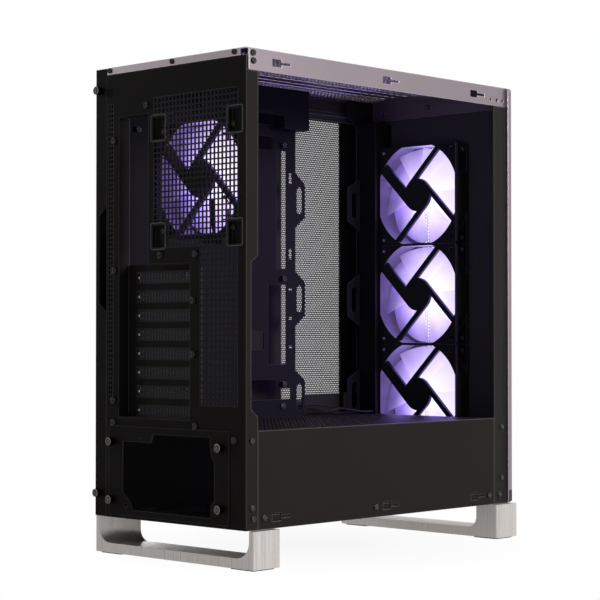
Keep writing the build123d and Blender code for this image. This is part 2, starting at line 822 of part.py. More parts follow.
with BuildPart() as front_panel:
    with BuildSketch(wall_plane(front)):
        panel(left - front_overhang, overall_width / 2, base, roof, corner=4)
        panel(mesh_near, mesh_far, mesh_low, mesh_high, corner=6, mode=Mode.SUBTRACT)
        panel(port_x - port_half, port_x + port_half, port_low, port_high, corner=4, mode=Mode.SUBTRACT)
    extrude(amount=front_thickness)
    with BuildSketch(wall_plane(front)):
        panel(mesh_near - rebate, mesh_far + rebate, mesh_low - rebate, mesh_high + rebate, corner=6)
    extrude(amount=rebate, mode=Mode.SUBTRACT)
    outer = front_panel.faces().sort_by(Axis.Y)[0]
    fillet(outer.outer_wire().edges(), 2.4)
front_panel.part.label = "front_panel"
export_step(front_panel.part, "parts/front_panel.step")

with BuildPart() as front_mesh:
    with BuildSketch(wall_plane(front - rebate + mesh_sheet)):
        seat = rebate - gap
        panel(mesh_near - seat, mesh_far + seat, mesh_low - seat, mesh_high + seat, corner=5)
        vent_slots(mesh_near, mesh_far, mesh_low, mesh_high)
    extrude(amount=mesh_sheet)
front_mesh.part.label = "front_mesh"
export_step(front_mesh.part, "parts/front_mesh.step")

power_z = port_high - 13.0
reset_z = port_high - 31.0
type_c_z = port_high - 48.0
type_a_z = (port_high - 67.0, port_high - 88.0)
audio_z = port_high - 106.0
button_gap = 0.15
power_radius = 6.2
reset_radius = 2.6
bezel_face = front_face + port_recess
bezel_thickness = 2.0
board_y = front_wall + 13.0
board_sheet = 1.6
button_travel = 1.0
switch_height = 3.6


def port_tunnel():
    """The hollow behind the ports, cut from the sketch."""
    half = port_half - port_wall
    panel(port_x - half, port_x + half, port_low + port_wall, port_high - port_wall, mode=Mode.SUBTRACT)


with BuildPart() as port_bezel:
    with BuildSketch(wall_plane(bezel_face + bezel_thickness)):
        panel(port_x - port_half + gap, port_x + port_half - gap, port_low + gap, port_high - gap, corner=3.7)
    extrude(amount=bezel_thickness)
    with BuildSketch(wall_plane(front_wall - steel)):
        panel(port_x - port_half - 3, port_x + port_half + 3, port_low - 4, port_high + 4)
        port_tunnel()
    extrude(amount=front_wall - steel - front)
    with BuildSketch(wall_plane(board_y)):
        panel(port_x - port_half + gap, port_x + port_half - gap, port_low + gap, port_high - gap, corner=3.7)
        port_tunnel()
    extrude(amount=board_y - bezel_face - bezel_thickness)
    with BuildSketch(wall_plane(bezel_face + bezel_thickness)):
        with Locations((port_x, power_z)):
            Circle(power_radius + button_gap)
        with Locations((port_x, reset_z)):
            Circle(reset_radius + button_gap)
        with Locations((port_x, type_c_z)):
            SlotOverall(9.6, 3.8, rotation=90)
        for z in type_a_z:
            panel(port_x - 3.2, port_x + 3.2, z - 6.9, z + 6.9)
        with Locations((port_x, audio_z)):
            Circle(3.3)
    extrude(amount=bezel_thickness, mode=Mode.SUBTRACT)
port_bezel.part.label = "port_bezel"
export_step(port_bezel.part, "parts/port_bezel.step")

with BuildPart() as port_board:
    with BuildSketch(wall_plane(board_y + board_sheet)):
        panel(port_x - port_half - 1, port_x + port_half + 1, port_low, port_high)
    extrude(amount=board_sheet)
    for z in (power_z, reset_z):
        with BuildSketch(wall_plane(board_y)):
            panel(port_x - 3, port_x + 3, z - 3, z + 3)
        extrude(amount=switch_height)
port_board.part.label = "port_board"
export_step(port_board.part, "parts/port_board.step")

with BuildPart() as sockets:
    for z in type_a_z:
        with BuildSketch(wall_plane(board_y)):
            panel(port_x - 2.9, port_x + 2.9, z - 6.6, z + 6.6)
        extrude(amount=board_y - bezel_face - gap)
        with BuildSketch(wall_plane(board_y - 2)):
            panel(port_x - 2.3, port_x + 2.3, z - 6.1, z + 6.1)
        extrude(amount=board_y - bezel_face, mode=Mode.SUBTRACT)
        block(port_x - 1.9, port_x - 0.1, board_y - 2, bezel_face + 2, z - 5.5, z + 5.5)
    with BuildSketch(wall_plane(board_y)):
        with Locations((port_x, type_c_z)):
            SlotOverall(9.0, 3.2, rotation=90)
    extrude(amount=board_y - bezel_face - gap)
    with BuildSketch(wall_plane(board_y - 2)):
        with Locations((port_x, type_c_z)):
            SlotOverall(8.4, 2.6, rotation=90)
    extrude(amount=board_y - bezel_face, mode=Mode.SUBTRACT)
sockets.part.label = "usb_sockets"
export_step(sockets.part, "parts/usb_sockets.step")

with BuildPart() as audio_jack:
    with BuildSketch(wall_plane(board_y)):
        with Locations((port_x, audio_z)):
            Circle(3.0)
    extrude(amount=board_y - bezel_face - gap)
    with BuildSketch(wall_plane(board_y - 2)):
        with Locations((port_x, audio_z)):
            Circle(1.8)
    extrude(amount=board_y - bezel_face, mode=Mode.SUBTRACT)
audio_jack.part.label = "audio_jack"
export_step(audio_jack.part, "parts/audio_jack.step")


def push_button(z, radius, proud):
    """A round push button: cap in the bezel's hole, collar behind it and a stem to the switch."""
    collar = bezel_face + bezel_thickness + gap
    stem_end = board_y - switch_height - button_travel - gap
    with BuildPart() as button:
        with BuildSketch(wall_plane(collar)):
            with Locations((port_x, z)):
                Circle(radius)
        extrude(amount=collar - bezel_face + proud)
        with BuildSketch(wall_plane(collar + 1.2)):
            with Locations((port_x, z)):
                Circle(min(radius + 1.2, port_half - 1.8))
        extrude(amount=1.2)
        with BuildSketch(wall_plane(stem_end)):
            with Locations((port_x, z)):
                Circle(1.6)
        extrude(amount=stem_end - collar)
    return button


power_button = push_button(power_z, power_radius, port_recess - 0.1)
power_button.part.label = "power_button"
export_step(power_button.part, "parts/power_button.step")

reset_button = push_button(reset_z, reset_radius, -0.4)
reset_button.part.label = "reset_button"
export_step(reset_button.part, "parts/reset_button.step")

# ---------------------------------------------------------------- feet
foot_depth = 39.1
bar_height = 10.5
thin_wall = 6.0
thick_wall = 30.0
outer_radius = 18.0
inner_radius = 13.0


def foot(outer_y, inner_y):
    """A milled skid across the tower: its hollow narrows from the outer face to the inner one."""
    with BuildPart() as skid:
        with BuildSketch(level(pad_thickness)):
            panel(-overall_width / 2, overall_width / 2, outer_y, inner_y, corner=2.5)
        extrude(amount=foot_height)
        for y, wall, radius in ((outer_y, thin_wall, outer_radius), (inner_y, thick_wall, inner_radius)):
            with BuildSketch(wall_plane(y)):
                panel(
                    wall - overall_width / 2,
                    overall_width / 2 - wall,
                    pad_thickness + bar_height,
                    base + 2 * outer_radius,
                    corner=radius,
                )
        loft(ruled=True, mode=Mode.SUBTRACT)
    return skid


rear_foot = foot(rear, rear - foot_depth)
rear_foot.part.label = "rear_foot"
export_step(rear_foot.part, "parts/rear_foot.step")

front_foot = foot(front_face, front_face + foot_depth)
front_foot.part.label = "front_foot"
export_step(front_foot.part, "parts/front_foot.step")

with BuildPart() as foot_pads:
    with BuildSketch(level(0)):
        for y in (rear - foot_depth / 2, front_face + foot_depth / 2):
            for side in (-1, 1):
                with Locations((side * (overall_width / 2 - 21), y)):
                    RectangleRounded(34, foot_depth - 8, 3)
    extrude(amount=pad_thickness)
foot_pads.part.label = "foot_pads"
export_step(foot_pads.part, "parts/foot_pads.step")

# ---------------------------------------------------------------- fans
# Each fan is made in its own frame: axis along local z, strut side at z = 0.
fan_bore = 126.0
fan_flats = 117.0
fan_flange = 4.0
barrel_wall = 1.5
hub_radius = 19.8
hub_plate = 3.0
strut_width = 6.0
lead_strut_width = 13.5
strut_depth = 4.0
strut_reach = 62.0
shaft_radius = 1.5
shaft_clearance = 0.05
bearing_radius = 4.5
pole_reach = 14.0
rotor_radius = 20.5
rotor_rim = 4.2
rotor_nose = 23.6
rotor_wall = 1.5
blade_count = 9
blade_tip = 57.0

with BuildPart() as fan_frame:
    with BuildSketch(Plane.XY):
        RectangleRounded(fan_size, fan_size, 4)
    extrude(amount=fan_depth)
    with BuildSketch(level(fan_flange)):
        Rectangle(fan_size + 2, fan_size + 2)
        Circle(fan_bore / 2 + barrel_wall, mode=Mode.SUBTRACT)
    extrude(amount=fan_depth - 2 * fan_flange, mode=Mode.SUBTRACT)
    with BuildSketch(Plane.XY):
        Circle(fan_bore / 2)
        Rectangle(fan_flats, fan_flats, mode=Mode.INTERSECT)
        with GridLocations(fan_screw_pitch, fan_screw_pitch, 2, 2):
            Circle(2.2)
    extrude(amount=fan_depth, mode=Mode.SUBTRACT)
    with BuildSketch(Plane.XY):
        Circle(hub_radius)
        with PolarLocations(0, 4, start_angle=45):
            with Locations((strut_reach / 2, strut_width / 2 - hub_radius)):
                Rectangle(strut_reach, strut_width)
        with PolarLocations(0, 1, start_angle=45):
            with Locations((strut_reach / 2, lead_strut_width / 2 - hub_radius)):
                Rectangle(strut_reach, lead_strut_width)
    extrude(amount=strut_depth)
    with BuildSketch(level(hub_plate)):
        Circle(hub_radius - 1.2)
    extrude(amount=strut_depth - hub_plate, mode=Mode.SUBTRACT)
    with BuildSketch(level(hub_plate)):
        Circle(bearing_radius)
        Circle(shaft_radius + shaft_clearance, mode=Mode.SUBTRACT)
    extrude(amount=rotor_nose - rotor_wall - hub_plate - 1)
    # stator poles round the bearing
    with BuildSketch(level(hub_plate + 2)):
        with PolarLocations(0, 4):
            with Locations((pole_reach / 2, 0)):
                Rectangle(pole_reach, 7)
        Circle(shaft_radius + 1.5, mode=Mode.SUBTRACT)
    extrude(amount=11)

blade_sections = (
    # radius, chord, pitch, lean: broad blades that overlap, flatter towards the tip
    (16.5, 24.0, 44.0, 0.0),
    (60.0, 62.0, 16.0, 3.0),
)
blade_middle = (rotor_rim + rotor_nose) / 2
blade_camber = 0.06
blade_thickness = 1.7

with BuildPart() as blade:
    for radius, chord, pitch, lean in blade_sections:
        with BuildSketch(Plane(origin=(radius, lean, blade_middle), x_dir=(0, 1, 0), z_dir=(1, 0, 0))):
            with BuildLine(Plane.XY.rotated((0, 0, pitch))):
                for face in (-blade_thickness / 2, blade_thickness / 2):
                    ThreePointArc((-chord / 2, 0), (0, chord * blade_camber + face), (chord / 2, 0))
            make_face()
    loft(ruled=True)
    with BuildSketch(level(rotor_rim)):
        Circle(blade_tip)
    extrude(amount=rotor_nose - rotor_rim, mode=Mode.INTERSECT)

with BuildPart() as rotor:
    with BuildSketch(level(rotor_rim)):
        Circle(rotor_radius)
    extrude(amount=rotor_nose - rotor_rim)
    with PolarLocations(0, blade_count):
        add(blade.part)
    with BuildSketch(level(rotor_rim)):
        Circle(rotor_radius - rotor_wall)
    extrude(amount=rotor_nose - rotor_rim - rotor_wall, mode=Mode.SUBTRACT)
    with BuildSketch(level(hub_plate + 0.6)):
        Circle(shaft_radius)
    extrude(amount=rotor_nose - rotor_wall - hub_plate - 0.6)

# ---------------------------------------------------------------- fan leads
# One lead per front fan, from the bracket's rear face to a plug in the fan hub.  Points are
# measured from the frame's left face, from the rear face and from the frame's bottom.
plug_drop = 6.5           # length of a plug below the hub

with BuildPart() as lead_plugs:
    for y in socket_y[1:]:
        block(
            socket_near + gap,
            socket_far - gap,
            y - socket_half + gap,
            y + socket_half - gap,
            hub_box[4] - plug_drop,
            hub_box[4] + socket_depth - gap,
        )
lead_plugs.part.label = "lead_plugs"
export_step(lead_plugs.part, "parts/lead_plugs.step")

lead_routes = {
    "lead_upper": (
        (188.0, 394.4, 103.4),
        (188.6, 382.0, 102.6),
        (190.0, 364.0, 105.4),
        (192.5, 341.0, 108.6),
        (196.0, 319.0, 112.2),
        (204.0, 305.0, 112.4),
        (207.8, 289.0, 110.6),
        (208.6, 266.0, 109.0),
        (207.4, 238.0, 109.6),
        (208.4, 203.0, 111.6),
        (208.0, 168.0, 117.5),
        (207.6, 141.0, 134.0),
        (207.95, 127.0, 160.0),
        (207.95, 127.0, 183.5),
    ),
    "lead_middle": (
        (183.0, 394.4, 103.4),
        (182.0, 382.0, 101.9),
        (183.2, 361.0, 102.4),
        (186.0, 338.0, 101.7),
        (189.0, 322.0, 104.2),
        (195.0, 309.5, 107.4),
        (204.4, 301.0, 107.0),
        (208.2, 283.0, 105.2),
        (207.6, 252.0, 105.7),
        (208.2, 210.0, 106.2),
        (207.8, 165.0, 109.0),
        (208.2, 131.0, 122.0),
        (207.95, 112.0, 152.0),
        (207.95, 112.0, 183.5),
    ),
    "lead_lower": (
        (178.0, 394.4, 103.4),
        (176.6, 382.0, 102.0),
        (178.5, 360.0, 104.6),
        (180.0, 337.0, 108.2),
        (181.5, 325.0, 105.6),
        (188.5, 311.0, 101.9),
        (204.2, 301.0, 102.4),
        (208.6, 284.0, 101.5),
        (207.8, 252.0, 102.2),
        (208.6, 205.0, 101.7),
        (208.0, 160.0, 103.4),
        (208.4, 122.0, 112.5),
        (207.95, 97.0, 146.0),
        (207.95, 97.0, 183.5),
    ),
}


def bend_radii(points):
    """One radius per inner point: the arc takes 0.45 of the shorter run beside it."""
    radii = []
    for before, here, after in zip(points, points[1:], points[2:]):
        run_in = Vector(*here) - Vector(*before)
        run_out = Vector(*after) - Vector(*here)
        half_turn = math.radians(run_in.get_angle(run_out)) / 2
        radii.append(0.45 * min(run_in.length, run_out.length) / math.tan(half_turn))
    return radii


for name, route in lead_routes.items():
    points = [(left + a, rear - b, base + z) for a, b, z in route]
    radii = bend_radii(points)
    print(name, "bend radii", [round(radius, 1) for radius in radii])
    with BuildPart() as lead:
        with BuildLine():
            centre = FilletPolyline(*points, radius=radii)
        with BuildSketch(Plane(origin=centre @ 0, z_dir=centre % 0)):
            Circle(lead_radius)
        sweep()
    filled = lead.part.volume / (math.pi * lead_radius**2 * centre.length)
    print(name, "volume over section times length", round(filled, 4))
    lead.part.label = name
    export_step(lead.part, f"parts/{name}.step")

# ---------------------------------------------------------------- fans in place
fan_places = {
    "rear_fan": (fan_x, rear - fan_seat, fan_z),
    "front_fan_top": (front_fan_x, front_fan_face, front_fan_z[0]),
    "front_fan_middle": (front_fan_x, front_fan_face, front_fan_z[1]),
    "front_fan_bottom": (front_fan_x, front_fan_face, front_fan_z[2]),
}

for name, place in fan_places.items():
    with BuildPart() as placed_frame:
        with Locations(Location(place, (90, 0, 0))):
            add(fan_frame.part)
    placed_frame.part.label = f"{name}_frame"
    export_step(placed_frame.part, f"parts/{name}_frame.step")
    with BuildPart() as placed_rotor:
        with Locations(Location(place, (90, 0, 0))):
            add(rotor.part)
    placed_rotor.part.label = f"{name}_rotor"
    export_step(placed_rotor.part, f"parts/{name}_rotor.step")
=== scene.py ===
# %% [markdown]
# # An empty desktop computer tower
# The tower stands with its left door taken off, so the board tray, the fan wall and the power
# supply shroud are in the open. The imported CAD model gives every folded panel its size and
# place. This lesson adds the finishes, the real perforated sheets, the small screws, the leads,
# the floor and the light. Loading the frame first means that every later value comes from it.

# %% Load the frame
import math

import bmesh
import bpy
from mathutils import Matrix, Vector


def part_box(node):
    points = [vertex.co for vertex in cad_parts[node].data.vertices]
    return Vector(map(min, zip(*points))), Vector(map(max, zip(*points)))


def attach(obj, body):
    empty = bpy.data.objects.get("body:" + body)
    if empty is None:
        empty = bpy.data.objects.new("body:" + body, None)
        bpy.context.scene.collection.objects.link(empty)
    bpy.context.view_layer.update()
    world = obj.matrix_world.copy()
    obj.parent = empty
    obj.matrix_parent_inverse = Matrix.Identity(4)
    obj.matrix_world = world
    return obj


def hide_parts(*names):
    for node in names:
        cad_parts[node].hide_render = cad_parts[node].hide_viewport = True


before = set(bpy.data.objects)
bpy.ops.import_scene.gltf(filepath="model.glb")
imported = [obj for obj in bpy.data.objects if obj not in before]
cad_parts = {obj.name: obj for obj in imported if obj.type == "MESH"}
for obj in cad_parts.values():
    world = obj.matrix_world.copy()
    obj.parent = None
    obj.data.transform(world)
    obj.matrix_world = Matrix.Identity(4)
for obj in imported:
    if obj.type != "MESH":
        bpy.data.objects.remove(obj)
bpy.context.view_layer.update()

# %% [markdown]
# ## Places on the tower
# A sheet metal drawing measures from three edges: the open side, the rear face and the frame's
# lower edge. The same three are read from the rear panel's box, and a small helper turns
# millimetres from those edges into metres in the model, so that screws land on their panels.

# %% Datum edges
MM = 0.001


def box_of(node):
    """The low and high corners of a CAD node's box."""
    return [Vector(corner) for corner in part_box(node)]


open_side, _, frame_base = box_of("rear_panel")[0]
rear_face = box_of("rear_fan_grille")[1].y


def at(across, deep, up):
    """A place in metres from millimetres across, in from the rear face and up the frame."""
    return Vector((open_side + across * MM, rear_face - deep * MM, frame_base + up * MM))


print("open side", round(open_side, 4), "rear face", round(rear_face, 4))

# %% [markdown]
# ## The camera
# A long lens from behind the open side keeps the upright edges nearly parallel, as in a studio
# picture of a tall product. It looks very slightly upwards from half the tower's height, so
# that the underside of the roof shows.

# %% Camera
CAMERA_PLACE = (-1286.0, -1264.4, 197.1)
CAMERA_HEADING = (0.6916, -0.7220, 0.0190)
camera_data = bpy.data.cameras.new("studio_camera")
camera_data.lens = 108.0
camera_data.sensor_width = 36.0
camera_data.clip_end = 60.0
camera = bpy.data.objects.new("studio_camera", camera_data)
bpy.context.collection.objects.link(camera)
camera.location = at(*CAMERA_PLACE)
camera.rotation_euler = Vector(CAMERA_HEADING).to_track_quat("-Z", "Y").to_euler()
bpy.context.scene.camera = camera
print("camera", [round(v, 3) for v in camera.location])

# %% [markdown]
# ## Fan leads
# Three thin limp leads come out at the foot of the fan bracket, lie loosely on the shroud, pass
# behind the tray's front ear and rise to the fan hub on the tray's back. The points are the
# ones that the CAD tubes follow, in millimetres across, deep and up.

# %% Lead routes
LEAD_DIAMETER = 2.6 * MM
LEAD_ROUTES = {
    "upper": (
        (188, 394.4, 103.4), (188.6, 382, 102.6), (190, 364, 105.4),
        (192.5, 341, 108.6), (196, 319, 112.2), (204, 305, 112.4),
        (207.8, 289, 110.6), (208.6, 266, 109), (207.4, 238, 109.6),
        (208.4, 203, 111.6), (208, 168, 117.5), (207.6, 141, 134),
        (207.95, 127, 160), (207.95, 127, 183.5),
    ),
    "middle": (
        (183, 394.4, 103.4), (182, 382, 101.9), (183.2, 361, 102.4),
        (186, 338, 101.7), (189, 322, 104.2), (195, 309.5, 107.4),
        (204.4, 301, 107), (208.2, 283, 105.2), (207.6, 252, 105.7),
        (208.2, 210, 106.2), (207.8, 165, 109), (208.2, 131, 122),
        (207.95, 112, 152), (207.95, 112, 183.5),
    ),
    "lower": (
        (178, 394.4, 103.4), (176.6, 382, 102), (178.5, 360, 104.6),
        (180, 337, 108.2), (181.5, 325, 105.6), (188.5, 311, 101.9),
        (204.2, 301, 102.4), (208.6, 284, 101.5), (207.8, 252, 102.2),
        (208.6, 205, 101.7), (208, 160, 103.4), (208.4, 122, 112.5),
        (207.95, 97, 146), (207.95, 97, 183.5),
    ),
}
print("lead points", [len(route) for route in LEAD_ROUTES.values()])

# %% [markdown]
# A free lead could be a chain of short cylinders, but a NURBS curve bends more easily: its
# points pull the line towards them, so a few of them give the easy bends of a soft lead. The
# spline's order and its end points are set after the points exist, or the curve would stay a
# row of straight runs. Each point carries the lead's own radius and the bevel depth is one,
# because a curve's box grows by the radius of its points.

# %% Fan leads
leads = []
for name, route in LEAD_ROUTES.items():
    curve = bpy.data.curves.new("fan_lead_" + name, "CURVE")
    curve.dimensions = "3D"
    curve.bevel_depth = 1.0
    curve.bevel_resolution = 3
    curve.resolution_u = 10
    curve.use_fill_caps = True
    spline = curve.splines.new("NURBS")
    spline.points.add(len(route) - 1)
    for point, place in zip(spline.points, route):
        point.co = (*at(*place), 1.0)
        point.radius = LEAD_DIAMETER / 2
    spline.order_u = 3
    spline.use_endpoint_u = True
    lead = bpy.data.objects.new("fan_lead_" + name, curve)
    bpy.context.collection.objects.link(lead)
    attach(lead, "chassis")
    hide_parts("lead_" + name)
    leads.append(lead)
    print(lead.name, "points", len(spline.points))

# %% [markdown]
# ## Node helpers
# A material or a node group is a tree of nodes, and most steps are the same: make a node, set a
# plain value or link a socket, and pass its output on. With one helper for each kind of node,
# a finish reads as a few lines of arithmetic.

# %% Helpers for nodes
def feed(tree, socket, value):
    """Links a socket to an input, or sets a plain value on it."""
    if isinstance(value, bpy.types.NodeSocket):
        tree.links.new(value, socket)
    else:
        socket.default_value = value


def math_node(tree, operation, first, second=0.0):
    """The output of a Math node whose inputs are numbers or sockets."""
    node = tree.nodes.new("ShaderNodeMath")
    node.operation = operation
    feed(tree, node.inputs[0], first)
    feed(tree, node.inputs[1], second)
    return node.outputs[0]


def vector_node(tree, operation, first, second=(0.0, 0.0, 0.0)):
    """The output of a Vector Math node, which is a number for a dot product or a length."""
    node = tree.nodes.new("ShaderNodeVectorMath")
    node.operation = operation
    feed(tree, node.inputs[0], first)
    feed(tree, node.inputs["Scale" if operation == "SCALE" else 1], second)
    return node.outputs["Value" if operation in ("DOT_PRODUCT", "LENGTH") else "Vector"]


def mix_colours(tree, factor, first, second):
    """The mix of two colours, each a tuple or a socket."""
    node = tree.nodes.new("ShaderNodeMix")
    node.data_type = "RGBA"
    for label, value in (("Factor", factor), ("A", first), ("B", second)):
        feed(tree, node.inputs[label], value)
    return node.outputs["Result"]


def object_place(tree):
    """Object coordinates, which stay still on a piece when it moves."""
    return tree.nodes.new("ShaderNodeTexCoord").outputs["Object"]


def noise_node(tree, place, scale, detail=2.0):
    """The value of a noise texture at a place."""
    node = tree.nodes.new("ShaderNodeTexNoise")
    tree.links.new(place, node.inputs["Vector"])
    feed(tree, node.inputs["Scale"], scale)
    node.inputs["Detail"].default_value = detail
    return node.outputs["Fac"]


def facing(tree, direction):
    """How far a face looks along a direction, which is a vector or a socket."""
    flat_normal = tree.nodes.new("ShaderNodeNewGeometry").outputs["True Normal"]
    return vector_node(tree, "DOT_PRODUCT", flat_normal, direction)


print("node helpers ready")

# %% [markdown]
# ## Node groups that several finishes share
# Powder coat, moulded plastic and brushed metal all need the same few effects: a fine grain
# that catches the light, and a slow drift in tone, because no real surface is one flat value.
# Each effect is built once as a node group with named inputs, and every finish sets its own
# numbers on it. A group puts out values only, and the shader stays in the material.

# %% Helpers for groups
FLOAT = "NodeSocketFloat"
COLOUR = "NodeSocketColor"
VECTOR = "NodeSocketVector"


def new_group(name, inputs, outputs):
    """A shader node group, the sockets that it is given and those that it puts out to."""
    group = bpy.data.node_groups.new(name, "ShaderNodeTree")
    for label, kind, value in inputs:
        socket = group.interface.new_socket(label, in_out="INPUT", socket_type=kind)
        if value is not None:
            socket.default_value = value
    for label, kind in outputs:
        group.interface.new_socket(label, in_out="OUTPUT", socket_type=kind)
    given, end = group.nodes.new("NodeGroupInput"), group.nodes.new("NodeGroupOutput")
    return group, given.outputs, end.inputs


def put_out(group, end, **values):
    """Links each value to the group's output of that name."""
    for label, value in values.items():
        group.links.new(value, end[label])
    print("group", group.name, "puts out", list(values))


# %% [markdown]
# The grain group mixes two scales of noise. The fine one is the texture that fingers feel, and
# the slow one is uneven coating, which is a little rougher where it is paler.

# %% Grain group
SLOW_SCALE = 9.0
ROUGHER_WHERE_PALER = 0.8
group, given, end = new_group(
    "surface_grain",
    [("Colour", COLOUR, None), ("Grain Scale", FLOAT, 900.0), ("Drift", FLOAT, 0.12),
     ("Roughness", FLOAT, 0.5)],
    [("Colour", COLOUR), ("Roughness", FLOAT), ("Height", FLOAT)],
)
place = object_place(group)
fine = noise_node(group, place, given["Grain Scale"])
slow = noise_node(group, place, SLOW_SCALE, detail=4.0)
drift = math_node(group, "SUBTRACT", slow, 0.5)
drift = math_node(group, "MULTIPLY", drift, given["Drift"])
tone = math_node(group, "ADD", 1.0, drift)
tint = vector_node(group, "SCALE", given["Colour"], tone)
rough = math_node(group, "MULTIPLY", drift, ROUGHER_WHERE_PALER)
rough = math_node(group, "ADD", given["Roughness"], rough)
put_out(group, end, Colour=tint, Roughness=rough, Height=fine)
grain_group = group

# %% [markdown]
# Brushed metal has long fine scratches in one direction. Stretching a noise along one axis with
# a Mapping node gives them, and their height and their tone come from the same noise.

# %% Brushed group
group, given, end = new_group(
    "brushed_lines",
    [("Colour", COLOUR, None), ("Stretch", VECTOR, (12.0, 900.0, 900.0)), ("Depth", FLOAT, 0.25),
     ("Roughness", FLOAT, 0.35)],
    [("Colour", COLOUR), ("Roughness", FLOAT), ("Height", FLOAT)],
)
stretch = group.nodes.new("ShaderNodeMapping")
group.links.new(object_place(group), stretch.inputs["Vector"])
group.links.new(given["Stretch"], stretch.inputs["Scale"])
lines = noise_node(group, stretch.outputs[0], 1.0, detail=3.0)
depth = math_node(group, "SUBTRACT", lines, 0.5)
depth = math_node(group, "MULTIPLY", depth, given["Depth"])
tone = math_node(group, "ADD", 1.0, depth)
tint = vector_node(group, "SCALE", given["Colour"], tone)
rough = math_node(group, "ADD", given["Roughness"], depth)
put_out(group, end, Colour=tint, Roughness=rough, Height=lines)
brushed_group = group

# %% [markdown]
# A folded or cut edge is never perfectly sharp. Its small round catches the lamps as a thin
# light line. The Bevel node gives the normal that such a round would have, and where it leaves
# the flat face's own normal there is an edge: that is a mask. Along it a paler colour is mixed
# into the base colour, which is a painted highlight.

# %% Edge highlight group
EDGE_ROUND = 1.6 * MM
EDGE_GAIN = 6.0
group, given, end = new_group(
    "painted_edge_highlight",
    [("Colour", COLOUR, None), ("Highlight Colour", COLOUR, None), ("Strength", FLOAT, 0.5),
     ("Radius", FLOAT, EDGE_ROUND)],
    [("Colour", COLOUR), ("Normal", VECTOR)],
)
rounded = group.nodes.new("ShaderNodeBevel")
rounded.samples = 4
group.links.new(given["Radius"], rounded.inputs["Radius"])
edge = math_node(group, "SUBTRACT", 1.0, facing(group, rounded.outputs["Normal"]))
edge = math_node(group, "MULTIPLY", edge, EDGE_GAIN)
edge = math_node(group, "MINIMUM", edge, 1.0)
edge = math_node(group, "MULTIPLY", edge, given["Strength"])
# painted highlight: the edge mask mixes a paler colour into the base colour
painted_highlight = mix_colours(group, edge, given["Colour"], given["Highlight Colour"])
put_out(group, end, Colour=painted_highlight, Normal=rounded.outputs["Normal"])
edge_highlight_group = group

# %% [markdown]
# ## Finishes
# A finish is one material: its shader, an effect group and a Bump node. Where a finish has
# painted highlights on its edges, the edge highlight group sits between the effect group and
# the shader.

# %% Finish helpers
EDGE_HIGHLIGHT_STRENGTH = 0.8


def start_material(name):
    """A material with its node tree and its shader."""
    material = bpy.data.materials.new(name)
    material.use_nodes = True
    return material, material.node_tree, material.node_tree.nodes["Principled BSDF"]


def place_group(tree, group, values):
    """Puts a group in a material with its own values."""
    node = tree.nodes.new("ShaderNodeGroup")
    node.node_tree = group
    for label, value in values.items():
        node.inputs[label].default_value = value
    return node


def dent(tree, shader, height, strength, distance):
    """A Bump node between a height and the shader."""
    bump = tree.nodes.new("ShaderNodeBump")
    bump.inputs["Strength"].default_value = strength
    bump.inputs["Distance"].default_value = distance
    tree.links.new(height, bump.inputs["Height"])
    tree.links.new(bump.outputs["Normal"], shader.inputs["Normal"])
    return bump


def finish_material(tree, node, shader, strength, distance, edges=None, edge_round=EDGE_ROUND):
    """Links a group's outputs to the shader, with painted edge highlights if a colour is given.
    """
    bump = dent(tree, shader, node.outputs["Height"], strength, distance)
    tree.links.new(node.outputs["Roughness"], shader.inputs["Roughness"])
    if edges is None:
        tree.links.new(node.outputs["Colour"], shader.inputs["Base Color"])
        return
    # painted highlight: the edge colour given here is mixed in along every edge
    values = {"Highlight Colour": (*edges, 1), "Strength": EDGE_HIGHLIGHT_STRENGTH, "Radius": edge_round}
    highlit_edges = place_group(tree, edge_highlight_group, values)
    tree.links.new(node.outputs["Colour"], highlit_edges.inputs["Colour"])
    tree.links.new(highlit_edges.outputs["Colour"], shader.inputs["Base Color"])
    tree.links.new(highlit_edges.outputs["Normal"], bump.inputs["Normal"])


print("edge strength", EDGE_HIGHLIGHT_STRENGTH)

# %% [markdown]
# Two helpers make nearly every finish. One places the grain group and the other the brushed
# group, and both leave the shader's plain numbers on its own sockets.

# %% Grained and brushed finishes
GRAIN_DEPTH = 0.3 * MM
SCRATCH_DEPTH = 0.2 * MM


def grained(name, colour, roughness, specular=0.5, metallic=0.0, grain=900.0, drift=0.12,
            bump=0.2, edges=None, edge_round=EDGE_ROUND):
    """A coated, moulded or cast finish."""
    material, tree, shader = start_material(name)
    values = {"Colour": (*colour, 1), "Grain Scale": grain, "Drift": drift,
              "Roughness": roughness}
    node = place_group(tree, grain_group, values)
    shader.inputs["Metallic"].default_value = metallic
    shader.inputs["Specular IOR Level"].default_value = specular
    finish_material(tree, node, shader, bump, GRAIN_DEPTH, edges, edge_round)
    return material


def brushed(name, colour, roughness, stretch, metallic=1.0, depth=0.25):
    """A metal brushed along one axis."""
    material, tree, shader = start_material(name)
    values = {"Colour": (*colour, 1), "Stretch": stretch, "Depth": depth,
              "Roughness": roughness}
    node = place_group(tree, brushed_group, values)
    shader.inputs["Metallic"].default_value = metallic
    finish_material(tree, node, shader, 0.1, SCRATCH_DEPTH)
    return material


print("grain depth", GRAIN_DEPTH, "scratch depth", SCRATCH_DEPTH)
